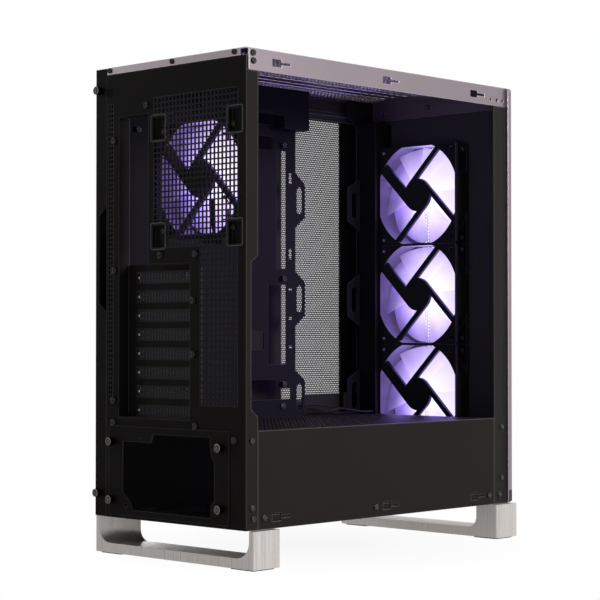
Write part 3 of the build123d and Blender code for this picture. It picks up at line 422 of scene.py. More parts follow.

# %% [markdown]
# The frame is powder coated steel, a warm black with very little gloss. Inside the case the
# tray and its covers get a darker copy of the coat with a violet tint, which is painted shade
# and painted violet light from the fans, and the slot covers get a darker copy, which is
# painted shade. The coat in pressed folds is glossier and the coat on narrow bars is paler and
# a little violet. The pale edge colours of these coats and of the alloy are painted highlights.
# The roof and the front are anodised alloy in a mauve grey, and the feet are brushed.

# %% Metal finishes
# painted highlights: each edges colour in these finishes is mixed in along the edges
COAT_EDGE_HIGHLIGHT = (0.190, 0.180, 0.175)
grained("black_coat", (0.0195, 0.0172, 0.0165), 0.50, specular=0.02, edges=COAT_EDGE_HIGHLIGHT)
# painted shade: a darker copy of black_coat, tinted violet, for the tray and its covers
grained("painted_shade_coat", (0.0088, 0.0080, 0.0105), 0.50, specular=0.02,
        edges=(0.045, 0.042, 0.052))
fold_coat = grained("fold_coat", (0.0190, 0.0170, 0.0165), 0.30, specular=0.3,
                    edges=(0.120, 0.116, 0.114))
hole_coat = grained("hole_coat", (0.0130, 0.0115, 0.0120), 0.50, specular=0.06)
mesh_coat = grained("mesh_coat", (0.024, 0.022, 0.022), 0.50, specular=0.15)
# painted shade: a darker copy of the coat for the rear-facing slot covers
painted_shade_slot_coat = grained("painted_shade_slot_coat", (0.016, 0.0145, 0.0145), 0.42, specular=0.10)
grained("ledge_coat", (0.030, 0.027, 0.032), 0.40, specular=0.1, edges=(0.3, 0.29, 0.32))
mauve_alloy = grained("mauve_alloy", (0.262, 0.218, 0.243), 0.30, metallic=0.80, grain=1400.0,
                      drift=0.05, bump=0.08, edges=(0.62, 0.57, 0.60))
brushed("brushed_foot", (0.55, 0.520, 0.498), 0.36, (760.0, 760.0, 10.0), metallic=0.5,
        depth=0.55)
brushed("plain_socket", (0.55, 0.55, 0.55), 0.3, (900.0, 40.0, 900.0))
print("finishes", len(bpy.data.materials))

# %% [markdown]
# Plastics are a cooler black. Small screws are black and glossy, thumbscrews and zinc shine
# more, and their edges are finer than those of a folded sheet, so their edge round is smaller.
# The pale edge colours of the screws and thumbscrews are painted highlights on their rims and
# crosses.

# %% Finishes of the small parts
grained("black_plastic", (0.0085, 0.0085, 0.0095), 0.5, specular=0.12, grain=1300.0)
gloss_plastic = grained("gloss_plastic", (0.010, 0.010, 0.011), 0.28, specular=0.4,
                        grain=500.0, bump=0.04)
grained("soft_rubber", (0.013, 0.013, 0.013), 0.8, specular=0.2, grain=500.0)
# painted highlight: a bright edge colour on a nearly black head
screw_black = grained("screw_black", (0.003, 0.0028, 0.0028), 0.16, specular=0.10,
                      grain=700.0, bump=0.03, edges=(0.55, 0.53, 0.51), edge_round=0.7 * MM)
# painted highlight: a pale edge colour on the grooves, rim and cross
thumb_nickel = grained("thumb_nickel", (0.035, 0.030, 0.026), 0.20, metallic=1.0, grain=600.0,
                       bump=0.05, edges=(0.34, 0.31, 0.285), edge_round=0.4 * MM)
bright_zinc = grained("bright_zinc", (0.24, 0.235, 0.225), 0.25, metallic=1.0, grain=700.0,
                      bump=0.05)
limp_sheath = grained("limp_sheath", (0.007, 0.006, 0.008), 0.42, specular=0.10, grain=1500.0)
grained("circuit_board", (0.012, 0.020, 0.014), 0.35, grain=300.0)
for lead in leads:
    lead.data.materials.append(limp_sheath)
print("finishes", len(bpy.data.materials))

# %% [markdown]
# The front frame is a deep box. Inside it the faces that look to the rear are painted paler
# than the folds that look to the open side, which is painted light on the faces turned to the
# rear, so its colour depends on which way a face looks.

# %% Front frame finish
rear_lit_wall_coat, tree, shader = start_material("rear_lit_wall_coat")
rear_light_share = math_node(tree, "MAXIMUM", facing(tree, (0.0, 1.0, 0.0)), 0.0)
# painted light: faces that look to the rear get the paler colour
pale = mix_colours(tree, rear_light_share, (0.0205, 0.0175, 0.0170, 1), (0.0560, 0.0560, 0.0480, 1))
node = place_group(tree, grain_group, {"Grain Scale": 900.0, "Drift": 0.12, "Roughness": 0.5})
tree.links.new(pale, node.inputs["Colour"])
shader.inputs["Specular IOR Level"].default_value = 0.05
finish_material(tree, node, shader, 0.2, GRAIN_DEPTH, COAT_EDGE_HIGHLIGHT)
print("finish", rear_lit_wall_coat.name)

# %% [markdown]
# The dust filters are a woven nylon net in a thin frame. At this size single threads can't be
# told apart, so the weave is a pair of crossed waves that dent the surface.

# %% Woven net
WEAVE_PITCH = 1.1 * MM
NYLON = (0.014, 0.014, 0.014, 1)
HOLLOW = (0.0049, 0.0049, 0.0049, 1)
nylon_net, tree, shader = start_material("nylon_net")
axes = tree.nodes.new("ShaderNodeSeparateXYZ")
tree.links.new(object_place(tree), axes.inputs[0])
waves = []
for axis in ("X", "Y"):
    turn = math_node(tree, "MULTIPLY", axes.outputs[axis], 2 * math.pi / WEAVE_PITCH)
    waves.append(math_node(tree, "ABSOLUTE", math_node(tree, "SINE", turn)))
thread = math_node(tree, "MAXIMUM", waves[0], waves[1])
dent(tree, shader, thread, 0.6, 0.4 * MM)
tree.links.new(mix_colours(tree, thread, HOLLOW, NYLON), shader.inputs["Base Color"])
shader.inputs["Roughness"].default_value = 0.75
shader.inputs["Specular IOR Level"].default_value = 0.2
print("finish", nylon_net.name, "pitch", WEAVE_PITCH)

# %% [markdown]
# ## Lit rotors
# Each rotor is frosted plastic with lamps round its hub. Seen through the struts, the blades
# are white where the lamps are near and fall off to lavender and then to violet at the rim on
# the far side. Lamps in the hub could light real frosted blades, but that takes many rays to
# look smooth. So distance from the axis, a sideways lean and a soft cloud make one factor,
# which a ramp turns into colour.

# %% Glow round a hub
GLOW_STEPS = (
    (0.00, (0.080, 0.050, 0.170)),
    (0.30, (0.195, 0.140, 0.430)),
    (0.55, (0.510, 0.400, 0.860)),
    (0.80, (0.840, 0.740, 0.990)),
    (1.00, (1.000, 0.980, 1.000)),
)
GLOW_AT_AXIS = 0.88
GLOW_FALL = 11.0
GLOW_LEAN = (-6.4, 0.0, 0.8)
CLOUD_SCALE = 26.0
CLOUD_SHARE = 0.40


def hub_light(tree, centre):
    """The glow round an axis along Y: its colour, the place from the axis and the radius."""
    place = object_place(tree)
    shift = tree.nodes.new("ShaderNodeMapping")
    shift.inputs["Location"].default_value = (-centre[0], 0.0, -centre[2])
    tree.links.new(place, shift.inputs["Vector"])
    flat = vector_node(tree, "MULTIPLY", shift.outputs[0], (1.0, 0.0, 1.0))
    radius = vector_node(tree, "LENGTH", flat)
    fall = math_node(tree, "MULTIPLY", radius, GLOW_FALL)
    cloud = math_node(tree, "MULTIPLY", noise_node(tree, place, CLOUD_SCALE), CLOUD_SHARE)
    factor = math_node(tree, "SUBTRACT", GLOW_AT_AXIS, fall)
    factor = math_node(tree, "ADD", factor, vector_node(tree, "DOT_PRODUCT", flat, GLOW_LEAN))
    factor = math_node(tree, "ADD", factor, cloud)
    ramp = tree.nodes.new("ShaderNodeValToRGB")
    tree.links.new(factor, ramp.inputs["Fac"])
    stops = ramp.color_ramp.elements
    while len(stops) < len(GLOW_STEPS):
        stops.new(0.5)
    for stop, (position, colour) in zip(stops, GLOW_STEPS):
        stop.position = position
        stop.color = (*colour, 1)
    return ramp.outputs["Color"], flat, radius


def lens_rays(tree):
    """One for rays from the lens and zero for rays between surfaces."""
    return tree.nodes.new("ShaderNodeLightPath").outputs["Is Camera Ray"]


print("glow steps", len(GLOW_STEPS))

# %% [markdown]
# The lamps also tint the metal round them. The light that reaches other surfaces is stronger
# and more violet than what the lens sees of the blades, and Light Path tells the two apart.

# %% Lit blades
CAST_COLOUR = (0.36, 0.25, 0.95, 1)
CAST_STRENGTH = 7.0


def lit_blades(name, centre):
    """Frosted blades lit from the hub of their rotor."""
    material, tree, shader = start_material(name)
    lens = lens_rays(tree)
    strength = math_node(tree, "MULTIPLY", lens, 1.0 - CAST_STRENGTH)
    strength = math_node(tree, "ADD", strength, CAST_STRENGTH)
    light = mix_colours(tree, lens, CAST_COLOUR, hub_light(tree, centre)[0])
    tree.links.new(light, shader.inputs["Emission Color"])
    tree.links.new(strength, shader.inputs["Emission Strength"])
    shader.inputs["Base Color"].default_value = (0.08, 0.07, 0.11, 1)
    shader.inputs["Roughness"].default_value = 0.45
    shader.inputs["Specular IOR Level"].default_value = 0.1
    return material


print("cast strength", CAST_STRENGTH)

# %% [markdown]
# A fan's frame is black, but its round duct is so near the lit blades that their light falls
# on it. That light is painted on the duct as a glow that only the lens sees. The faces of the
# duct are the ones that look back at the axis from well away from it. The frame's edges get a
# violet painted highlight.

# %% Lit frames
DUCT_REACH = 40 * MM
DUCT_PAINTED_LIGHT = 0.75


def lit_frame(name, centre):
    """Black plastic with the blades' light painted on its round duct."""
    # painted highlight: a violet edge colour on the frame's edges
    material = grained(name, (0.0085, 0.0085, 0.0095), 0.5, specular=0.12, grain=1300.0,
                       edges=(0.10, 0.06, 0.20))
    tree = material.node_tree
    shader = tree.nodes["Principled BSDF"]
    colour, flat, _ = hub_light(tree, centre)
    # painted light: the duct's faces glow with the hub's colours for rays from the lens
    inwards = math_node(tree, "LESS_THAN", facing(tree, flat), -DUCT_REACH)
    strength = math_node(tree, "MULTIPLY", inwards, lens_rays(tree))
    strength = math_node(tree, "MULTIPLY", strength, DUCT_PAINTED_LIGHT)
    tree.links.new(colour, shader.inputs["Emission Color"])
    tree.links.new(strength, shader.inputs["Emission Strength"])
    return material


print("duct reach", DUCT_REACH)

# %% [markdown]
# The net of the front panel lies right behind the front fans, and is lit inside each duct. That
# light is painted on as a glow that only the lens sees. The glow is the sum of three, each cut
# off at the duct's radius, on the faces that look inwards.

# %% Lit net
DUCT_RADIUS = 58 * MM


def lit_net(name, centres):
    """The net in front of the fans, with the light inside each duct painted on its inner face.
    """
    material = grained(name, (0.0130, 0.0115, 0.0120), 0.5, specular=0.06)
    tree = material.node_tree
    shader = tree.nodes["Principled BSDF"]
    # painted light: the glow inside each duct is painted on the net for rays from the lens
    painted_duct_light = (0.0, 0.0, 0.0)
    for centre in centres:
        colour, _, radius = hub_light(tree, centre)
        inside = math_node(tree, "LESS_THAN", radius, DUCT_RADIUS)
        share = vector_node(tree, "SCALE", colour, inside)
        painted_duct_light = vector_node(tree, "ADD", share, painted_duct_light)
    inwards = math_node(tree, "GREATER_THAN", facing(tree, (0.0, 1.0, 0.0)), -0.5)
    strength = math_node(tree, "MULTIPLY", inwards, lens_rays(tree))
    tree.links.new(painted_duct_light, shader.inputs["Emission Color"])
    tree.links.new(strength, shader.inputs["Emission Strength"])
    return material


FANS = ("rear_fan", "front_fan_top", "front_fan_middle", "front_fan_bottom")
fan_centres = {}
for fan in FANS:
    low, high = box_of(fan + "_frame")
    fan_centres[fan] = (low + high) / 2
    for part, finish in (("_rotor", lit_blades), ("_frame", lit_frame)):
        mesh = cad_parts[fan + part].data
        mesh.materials.clear()
        mesh.materials.append(finish(fan + part + "_glow", fan_centres[fan]))
front_net = lit_net("front_net_painted_glow", [fan_centres[fan] for fan in FANS[1:]])
print("lit fans", len(FANS))

# %% [markdown]
# ## Which CAD piece wears which finish
# Most CAD nodes have the right shape already, so they only change their material.

# %% Finish of each CAD node
WEARS = {
    "black_coat": ("rear_panel", "supply_bracket", "supply_shroud", "base_panel",
                   "right_rail_bottom", "right_cover"),
    "painted_shade_coat": ("board_tray", "cable_bracket", "cable_cover"),
    "rear_lit_wall_coat": ("front_frame",),
    "ledge_coat": ("right_rail_top",),
    "mauve_alloy": ("roof_panel", "front_panel"),
    "brushed_foot": ("rear_foot", "front_foot"),
    "soft_rubber": ("foot_pads", "supply_pads"),
    "screw_black": ("board_standoffs",),
    "nylon_net": ("roof_dust_filter", "base_dust_filter"),
    "black_plastic": ("port_bezel", "fan_hub", "audio_jack", "lead_plugs"),
    "circuit_board": ("port_board",),
    "plain_socket": ("usb_sockets",),
    "gloss_plastic": ("power_button", "reset_button"),
}
for finish, nodes in WEARS.items():
    for node in nodes:
        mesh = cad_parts[node].data
        mesh.materials.clear()
        mesh.materials.append(bpy.data.materials[finish])
print("painted", sum(len(nodes) for nodes in WEARS.values()))

# %% [markdown]
# ## Making a piece
# Every new piece goes through one helper. It turns the bmesh into an object at the origin,
# gives it its finish and lets it ride on a body.

# %% Piece helpers
def make_piece(name, shape, material, stands_for=(), body="chassis"):
    """Ends a bmesh as a finished piece of the tower."""
    mesh = bpy.data.meshes.new(name)
    shape.to_mesh(mesh)
    shape.free()
    piece = bpy.data.objects.new(name, mesh)
    bpy.context.collection.objects.link(piece)
    mesh.materials.append(material)
    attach(piece, body)
    if stands_for:
        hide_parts(*stands_for)
    print(name, "faces", len(mesh.polygons))


def join_shape(shape, part):
    """Adds a finished bmesh to another one."""
    mesh = bpy.data.meshes.new("part")
    part.to_mesh(mesh)
    part.free()
    shape.from_mesh(mesh)
    bpy.data.meshes.remove(mesh)


# %% [markdown]
# ## Perforated sheet
# The vents are punched in the panels themselves, a square hole about every 6 mm with narrow
# bars left between them. A grid with one face per hole makes them all: every face is inset by
# half a bar, the inner faces are deleted, and the net that is left gets the sheet's thickness.
# The sheet fills the box of the CAD vent exactly.

# %% Sheet helpers
CUT_EXACT = 1e-7
SHEET_PLANES = {
    # axis through the sheet: the box axes of its width, height and thickness, and its turn
    "X": ((1, 2, 0), Matrix(((0, 0, 1), (1, 0, 0), (0, 1, 0)))),
    "Y": ((2, 0, 1), Matrix(((0, 1, 0), (0, 0, 1), (1, 0, 0)))),
    "Z": ((0, 1, 2), Matrix.Identity(3)),
}


def sheet_sizes(low, high, axis):
    """Width and height of a sheet's box in its own plane, and its thickness."""
    size = high - low
    return [size[side] for side in SHEET_PLANES[axis][0]]


def lay_sheet(shape, low, high, axis):
    """Turns a sheet from the XY plane, centred at the origin, into its box."""
    turn = SHEET_PLANES[axis][1].to_4x4()
    bmesh.ops.transform(shape, matrix=turn, verts=shape.verts)
    bmesh.ops.translate(shape, vec=(low + high) / 2, verts=shape.verts)


def punch(shape, bar, thickness):
    """Opens every face of a flat net to a hole and gives the bars their thickness."""
    inset = bmesh.ops.inset_individual(shape, faces=shape.faces[:], thickness=bar / 2,
                                       use_even_offset=True)
    kept = set(inset["faces"])
    holes = [face for face in shape.faces if face not in kept]
    bmesh.ops.delete(shape, geom=holes, context="FACES_ONLY")
    bmesh.ops.solidify(shape, geom=shape.faces[:], thickness=thickness)
    middle = sum(v.co.z for v in shape.verts) / len(shape.verts)
    bmesh.ops.translate(shape, vec=(0, 0, -middle), verts=shape.verts)
    bmesh.ops.recalc_face_normals(shape, faces=shape.faces)


print("sheet planes", list(SHEET_PLANES))

# %% [markdown]
# Where a pad or a window interrupts a field, the grid is cut along the four sides of a
# rectangle and the faces inside it are deleted before the rest is punched.

# %% Square-hole sheet
SQUARE_PITCH = 5.9 * MM
SQUARE_BAR = 1.55 * MM


def cut_out(shape, centre, half, pitch):
    """Takes a rectangle out of a flat grid."""
    for i in (0, 1):
        for side in (-1, 1):
            near = [f for f in shape.faces
                    if all(abs(v.co[j] - centre[j]) < half[j] + 2 * pitch
                           for v in f.verts for j in (0, 1))]
            around = [v for f in near for v in f.verts] + [e for f in near for e in f.edges]
            place, normal = [0, 0, 0], [0, 0, 0]
            place[i] = centre[i] + side * half[i]
            normal[i] = 1
            bmesh.ops.bisect_plane(shape, geom=list(dict.fromkeys(around)) + near,
                                   dist=CUT_EXACT, plane_co=place, plane_no=normal)
    inside = [f for f in shape.faces
              if all(abs(f.calc_center_median()[j] - centre[j]) < half[j] for j in (0, 1))]
    bmesh.ops.delete(shape, geom=inside, context="FACES")


def square_sheet(low, high, axis, pitch, bar, cut_outs=()):
    """A sheet with square holes that fills a box, less some rectangles in its own plane."""
    width, height, thickness = sheet_sizes(low, high, axis)
    shape = bmesh.new()
    columns = max(1, round(width / pitch))
    rows = max(1, round(height / pitch))
    bmesh.ops.create_grid(shape, x_segments=columns, y_segments=rows, size=0.5)
    bmesh.ops.scale(shape, vec=(width, height, 1), verts=shape.verts)
    for centre, half in cut_outs:
        cut_out(shape, centre, half, pitch)
    punch(shape, bar, thickness)
    lay_sheet(shape, low, high, axis)
    return shape


print("square pitch", SQUARE_PITCH, "bar", SQUARE_BAR)

# %% [markdown]
# The rear fan blows through the largest field. Four pads are pressed inwards round the fan's
# screws, so the net has a rectangle cut out for each.

# %% Rear fan's vent
PAD_WIDTH, PAD_HEIGHT = 21.4 * MM, 26.4 * MM
PAD_SHIFT = (-1.75, -0.55)
PAD_SPREAD = (57.95, 57.15)
CORNERS = ((-1, -1), (-1, 1), (1, -1), (1, 1))
fan_middle = fan_centres["rear_fan"]
pad_places = [(fan_middle.x + (PAD_SHIFT[0] + side * PAD_SPREAD[0]) * MM,
               fan_middle.z + (PAD_SHIFT[1] + up * PAD_SPREAD[1]) * MM)
              for side, up in CORNERS]
low, high = box_of("rear_fan_grille")
field_middle = (low + high) / 2
pads = [((z - field_middle.z, x - field_middle.x), (PAD_HEIGHT / 2, PAD_WIDTH / 2))
        for x, z in pad_places]
shape = square_sheet(low, high, "Y", SQUARE_PITCH, SQUARE_BAR, pads)
make_piece("rear_fan_mesh", shape, hole_coat, ["rear_fan_grille"])

# %% [markdown]
# The steel rolls up in a small round bead where each pad is pressed. A rectangle gets round
# corners, its middle is taken out, and the ring that is left becomes a solid with round edges.

# %% Pressed beads
BEAD_WIDTH = 1.3 * MM
BEAD_PROUD = 0.9 * MM
BEAD_SUNK = 0.1 * MM
BEAD_CORNER = 3.0 * MM
CREST_SHARE = 0.42


def bead_ring(shape, centre):
    """A raised ring round one pad on the rear face, which looks along +Y."""
    ring = bmesh.new()
    outer = (PAD_WIDTH + 2 * BEAD_WIDTH, PAD_HEIGHT + 2 * BEAD_WIDTH, 1)
    bmesh.ops.create_grid(ring, x_segments=1, y_segments=1, size=0.5)
    bmesh.ops.scale(ring, vec=outer, verts=ring.verts)
    bmesh.ops.bevel(ring, geom=ring.verts[:], offset=BEAD_CORNER, segments=4, profile=0.5,
                    affect="VERTICES", material=-1)
    inner = ring.faces[:]
    bmesh.ops.inset_region(ring, faces=inner, thickness=BEAD_WIDTH, use_even_offset=True,
                           use_boundary=True)
    bmesh.ops.delete(ring, geom=inner, context="FACES_ONLY")
    bmesh.ops.solidify(ring, geom=ring.faces[:], thickness=BEAD_PROUD)
    top = max(v.co.z for v in ring.verts)
    crest = [e for e in ring.edges if all(abs(v.co.z - top) < 1e-6 for v in e.verts)
             and any(abs(f.normal.z) < 0.5 for f in e.link_faces)]
    bmesh.ops.bevel(ring, geom=crest, offset=BEAD_WIDTH * CREST_SHARE, segments=2, profile=0.5,
                    affect="EDGES", material=-1)
    bmesh.ops.recalc_face_normals(ring, faces=ring.faces)
    base = min(v.co.z for v in ring.verts)
    stand = Matrix(((-1, 0, 0), (0, 0, 1), (0, 1, 0))).to_4x4()
    bmesh.ops.translate(ring, vec=(0, 0, -base), verts=ring.verts)
    bmesh.ops.transform(ring, matrix=Matrix.Translation(centre) @ stand, verts=ring.verts)
    join_shape(shape, ring)


beads = bmesh.new()
for x, z in pad_places:
    bead_ring(beads, Vector((x, rear_face - BEAD_SUNK, z)))
make_piece("pad_beads", beads, fold_coat)

# %% [markdown]
# Two smaller fields let air out beside the slots and down the far edge, where the holes are
# finer. The shroud and the base are punched in the same way, with the holes facing up.

# %% Smaller vents
for node, name, axis, pitch in (
    ("rear_vent_grille", "rear_vent_mesh", "Y", SQUARE_PITCH),
    ("rear_edge_grille", "rear_edge_mesh", "Y", 5.0 * MM),
    ("shroud_grille", "shroud_mesh", "Z", SQUARE_PITCH),
    ("base_grille", "base_mesh", "Z", SQUARE_PITCH),
):
    low, high = box_of(node)
    shape = square_sheet(low, high, axis, pitch, SQUARE_BAR)
    make_piece(name, shape, hole_coat, [node])

# %% [markdown]
# The roof has two fields, one on each side of its middle strip.

# %% Roof vents
ROOF_FIELDS = ((26.0, 118.0), (168.0, 204.0))
low, high = box_of("roof_grilles")
roof_meshes = bmesh.new()
for near, far in ROOF_FIELDS:
    field_low = Vector((open_side + near * MM, low.y, low.z))
    field_high = Vector((open_side + far * MM, high.y, high.z))
    join_shape(roof_meshes,
               square_sheet(field_low, field_high, "Z", SQUARE_PITCH, SQUARE_BAR))
make_piece("roof_meshes", roof_meshes, mauve_alloy, ["roof_grilles"])

# %% [markdown]
# ## Honeycomb sheet
# The right cover and the front carry a finer net of six-sided holes. Circles with six corners,
# set in staggered rows, share their corners once doubles are merged, and then the same punch
# opens them. The field is trimmed to its window before it gets its thickness.

# %% Honeycomb sheets
MERGE_SHARE = 0.02


def honeycomb_sheet(node, axis, pitch, bar, thickness):
    """A sheet with six-sided holes, as wide and high as a node's box and midway through it."""
    low, high = box_of(node)
    width, height, _ = sheet_sizes(low, high, axis)
    shape = bmesh.new()
    corner_radius = pitch / math.sqrt(3)
    row_step = 1.5 * corner_radius
    rows = int(height / row_step) + 2
    columns = int(width / pitch) + 2
    for row in range(rows):
        y = (row - (rows - 1) / 2) * row_step
        for column in range(columns):
            x = (column - (columns - 1) / 2 + 0.5 * (row % 2)) * pitch
            bmesh.ops.create_circle(shape, cap_ends=True, segments=6, radius=corner_radius,
                                    matrix=Matrix.Translation((x, y, 0)))
    bmesh.ops.remove_doubles(shape, verts=shape.verts, dist=pitch * MERGE_SHARE)
    for x, y in ((1, 0), (-1, 0), (0, 1), (0, -1)):
        everything = shape.verts[:] + shape.edges[:] + shape.faces[:]
        bmesh.ops.bisect_plane(shape, geom=everything, dist=CUT_EXACT, clear_outer=True,
                               plane_co=(x * width / 2, y * height / 2, 0), plane_no=(x, y, 0))
    punch(shape, bar, thickness)
    lay_sheet(shape, low, high, axis)
    return shape


shape = honeycomb_sheet("right_cover_mesh", "X", 3.0 * MM, 1.25 * MM, 0.6 * MM)
make_piece("cover_honeycomb", shape, mesh_coat, ["right_cover_mesh"], "cover")
shape = honeycomb_sheet("front_mesh", "Y", 4.0 * MM, 1.3 * MM, 0.8 * MM)
make_piece("front_honeycomb", shape, front_net, ["front_mesh"])

# %% [markdown]
# ## Slot covers
# Each expansion slot is closed by a folded strip with two rows of small windows. The strip's
# outline is built from its CAD box, the windows are punched with the same net, and the bent end
# that the screw holds is one more wall.

# %% Slot covers
SLOT_NODES = [f"slot_cover_{index}" for index in range(1, 9)]
PLATE = 1.0 * MM
SLOT_PITCH, SLOT_BAR = 4.9 * MM, 1.5 * MM
NET_START, NET_END, NET_HALF = 6.0 * MM, 12.0 * MM, 5.4 * MM
TONGUE_HALF = 5.1 * MM


def slot_cover(low, high):
    """A perforated strip with a bent end, in the box of its CAD node."""
    middle = (low.z + high.z) / 2
    plate_y = low.y + PLATE
    net_low = Vector((low.x + NET_START, low.y, middle - NET_HALF))
    net_high = Vector((high.x - NET_END, plate_y, middle + NET_HALF))
    shape = bmesh.new()
    join_shape(shape, square_sheet(net_low, net_high, "Y", SLOT_PITCH, SLOT_BAR))
    for x0, x1, y0, y1, z0, z1 in (
        (low.x, net_low.x, low.y, plate_y, low.z, high.z),
        (net_low.x, net_high.x, low.y, plate_y, low.z, net_low.z),
        (net_low.x, net_high.x, low.y, plate_y, net_high.z, high.z),
        (net_high.x, high.x, low.y, plate_y, middle - TONGUE_HALF, middle + TONGUE_HALF),
        (low.x, low.x + PLATE, plate_y, high.y, low.z, high.z),
    ):
        size = Matrix.Diagonal((x1 - x0, y1 - y0, z1 - z0, 1))
        place = Matrix.Translation(((x0 + x1) / 2, (y0 + y1) / 2, (z0 + z1) / 2))
        bmesh.ops.create_cube(shape, size=1.0, matrix=place @ size)
    return shape


for index, node in enumerate(SLOT_NODES, 1):
    make_piece(f"slot_strip_{index}", slot_cover(*box_of(node)), painted_shade_slot_coat,
               [node])

# %% [markdown]
# ## Screws
# A pan-head screw is a low dome with a cross pressed into it, which no ready-made shape has. So
# a disc is extruded in steps that get smaller, and its last face is drawn into a cross and
# pushed down. The head is made on the Z axis, then turned and moved to its seat.

# %% Screw head
DOME_STEPS = ((0.45, 1.0), (0.35, 0.90), (0.20, 0.66))
CROSS_SHARES = (0.52, 0.36, 0.14, 0.36)
CROSS_DEPTH = 0.6
TO_REAR = Vector((0, 1, 0))
TO_OPEN = Vector((-1, 0, 0))


def upward_disc(shape, segments, radius):
    """A disc on the XY plane: its corners and its one face, which looks up."""
    verts = bmesh.ops.create_circle(shape, cap_ends=True, segments=segments,
                                    radius=radius)["verts"]
    face = verts[0].link_faces[0]
    if face.normal.z < 0:
        bmesh.ops.reverse_faces(shape, faces=[face])
    return verts, face


def draw_out(shape, face, rise, made):
    """Extrudes one face, lifts it and notes its corners."""
    face = bmesh.ops.extrude_discrete_faces(shape, faces=[face])["faces"][0]
    bmesh.ops.translate(shape, vec=(0, 0, rise), verts=face.verts)
    made.update(face.verts)
    return face


def turned_to(outwards):
    """The turn that points the Z axis outwards."""
    return outwards.to_track_quat("Z", "X").to_matrix().to_4x4()


def pan_head(shape, radius, height, seat, outwards):
    """Adds one cross-slotted pan head that sits at a place and points outwards."""
    verts, face = upward_disc(shape, 16, radius)
    made = set(verts)
    for rise, share in DOME_STEPS:
        face = draw_out(shape, face, height * rise, made)
        centre = face.calc_center_median()
        widest = max((v.co - centre).length for v in face.verts)
        bmesh.ops.scale(shape, vec=[radius * share / widest] * 3, verts=face.verts,
                        space=Matrix.Translation(-centre))
    face = draw_out(shape, face, 0, made)
    for index, vert in enumerate(face.verts):
        share = CROSS_SHARES[index % len(CROSS_SHARES)]
        flat = Vector((vert.co.x, vert.co.y, 0)).normalized() * radius * share
        vert.co.x, vert.co.y = flat.x, flat.y
    draw_out(shape, face, -height * CROSS_DEPTH, made)
    bmesh.ops.transform(shape, matrix=Matrix.Translation(seat) @ turned_to(outwards),
                        verts=list(made))


print("dome steps", len(DOME_STEPS))

# %% [markdown]
# Eleven large screws hold the rear panel, three small ones the roof's rear flange, and eleven
# more look to the open side along the folded edges. Their places are millimetres across and up,
# or deep and up.

# %% Frame screws
LARGE_SCREW = (4.1 * MM, 2.6 * MM)
FLANGE_SCREW = (3.0 * MM, 1.8 * MM)
FLANGE_UP = 482.8
SIDE_SCREW = (3.4 * MM, 2.0 * MM)
REAR_PLACES = (
    (150.5, 440.2), (128.3, 280.3), (74.3, 279.9), (202.9, 406.2), (202.5, 265.9),
    (203.0, 126.0), (202.9, 102.1), (74.0, 102.3), (16.4, 90.0), (77.5, 232.1), (77.5, 176.5),
)
SIDE_PLACES = (
    (8.2, 89.8), (8.5, 22.7), (10.1, 11.3), (25.6, 11.5), (196.2, 10.8), (394.5, 10.8),
    (418.0, 89.3), (417.9, 29.8), (413.8, 10.7), (9.6, 481.1), (10.1, 473.0),
)
screws = bmesh.new()
for across, up in REAR_PLACES:
    pan_head(screws, *LARGE_SCREW, at(across, 0, up), TO_REAR)
for across in (17.3, 111.0, 210.8):
    pan_head(screws, *FLANGE_SCREW, at(across, 0, FLANGE_UP), TO_REAR)
for deep, up in SIDE_PLACES:
    pan_head(screws, *SIDE_SCREW, at(0, deep, up), TO_OPEN)
make_piece("frame_screws", screws, screw_black)

# %% [markdown]
# The rear fan's four screws sit on the pressed pads at its standard spacing, one holds the
# tray, one holds each slot cover, and two hold the roof's hanging front band.

# %% Seated screws
FAN_HOLE = 105.0 / 2 * MM
PAD_RISE = 1.2 * MM
SLOT_SCREW_DEEP = 8.0 * MM
BAND_DEEP = 418.8
FAN_SCREW = (3.6 * MM, 2.2 * MM)
SLOT_SCREW = (3.4 * MM, 2.4 * MM)
BAND_SCREW = (3.6 * MM, 2.4 * MM)
fan_face = box_of("rear_fan_frame")[1].y
screws = bmesh.new()
for side, up in CORNERS:
    seat = Vector((fan_middle.x + side * FAN_HOLE, fan_face + PAD_RISE,
                   fan_middle.z + up * FAN_HOLE))
    pan_head(screws, *FAN_SCREW, seat, TO_REAR)
seat = at(0, 257, 112)
seat.x = box_of("board_tray")[0].x
pan_head(screws, *LARGE_SCREW, seat, TO_OPEN)
for node in SLOT_NODES:
    low, high = box_of(node)
    seat = Vector((low.x, rear_face - SLOT_SCREW_DEEP, (low.z + high.z) / 2))
    pan_head(screws, *SLOT_SCREW, seat, TO_OPEN)
for across, up in ((181.9, 470.9), (111.7, 472.5)):
    pan_head(screws, *BAND_SCREW, at(across, BAND_DEEP, up), TO_REAR)
make_piece("seated_screws", screws, screw_black)

# %% [markdown]
# At its board end each slot cover has a small bright dimple, where the bare zinc shows.

# %% Dimples of the slot covers
DIMPLE = (1.7 * MM, 0.9 * MM)
DIMPLE_ACROSS = 179.5 * MM
dimples = bmesh.new()
for node in SLOT_NODES:
    low, high = box_of(node)
    seat = Vector((open_side + DIMPLE_ACROSS, low.y + PLATE, (low.z + high.z) / 2))
    pan_head(dimples, *DIMPLE, seat, TO_REAR)
make_piece("slot_dimples", dimples, bright_zinc)

# %% [markdown]
# The front panel is held by a small black spring latch low on its open edge.

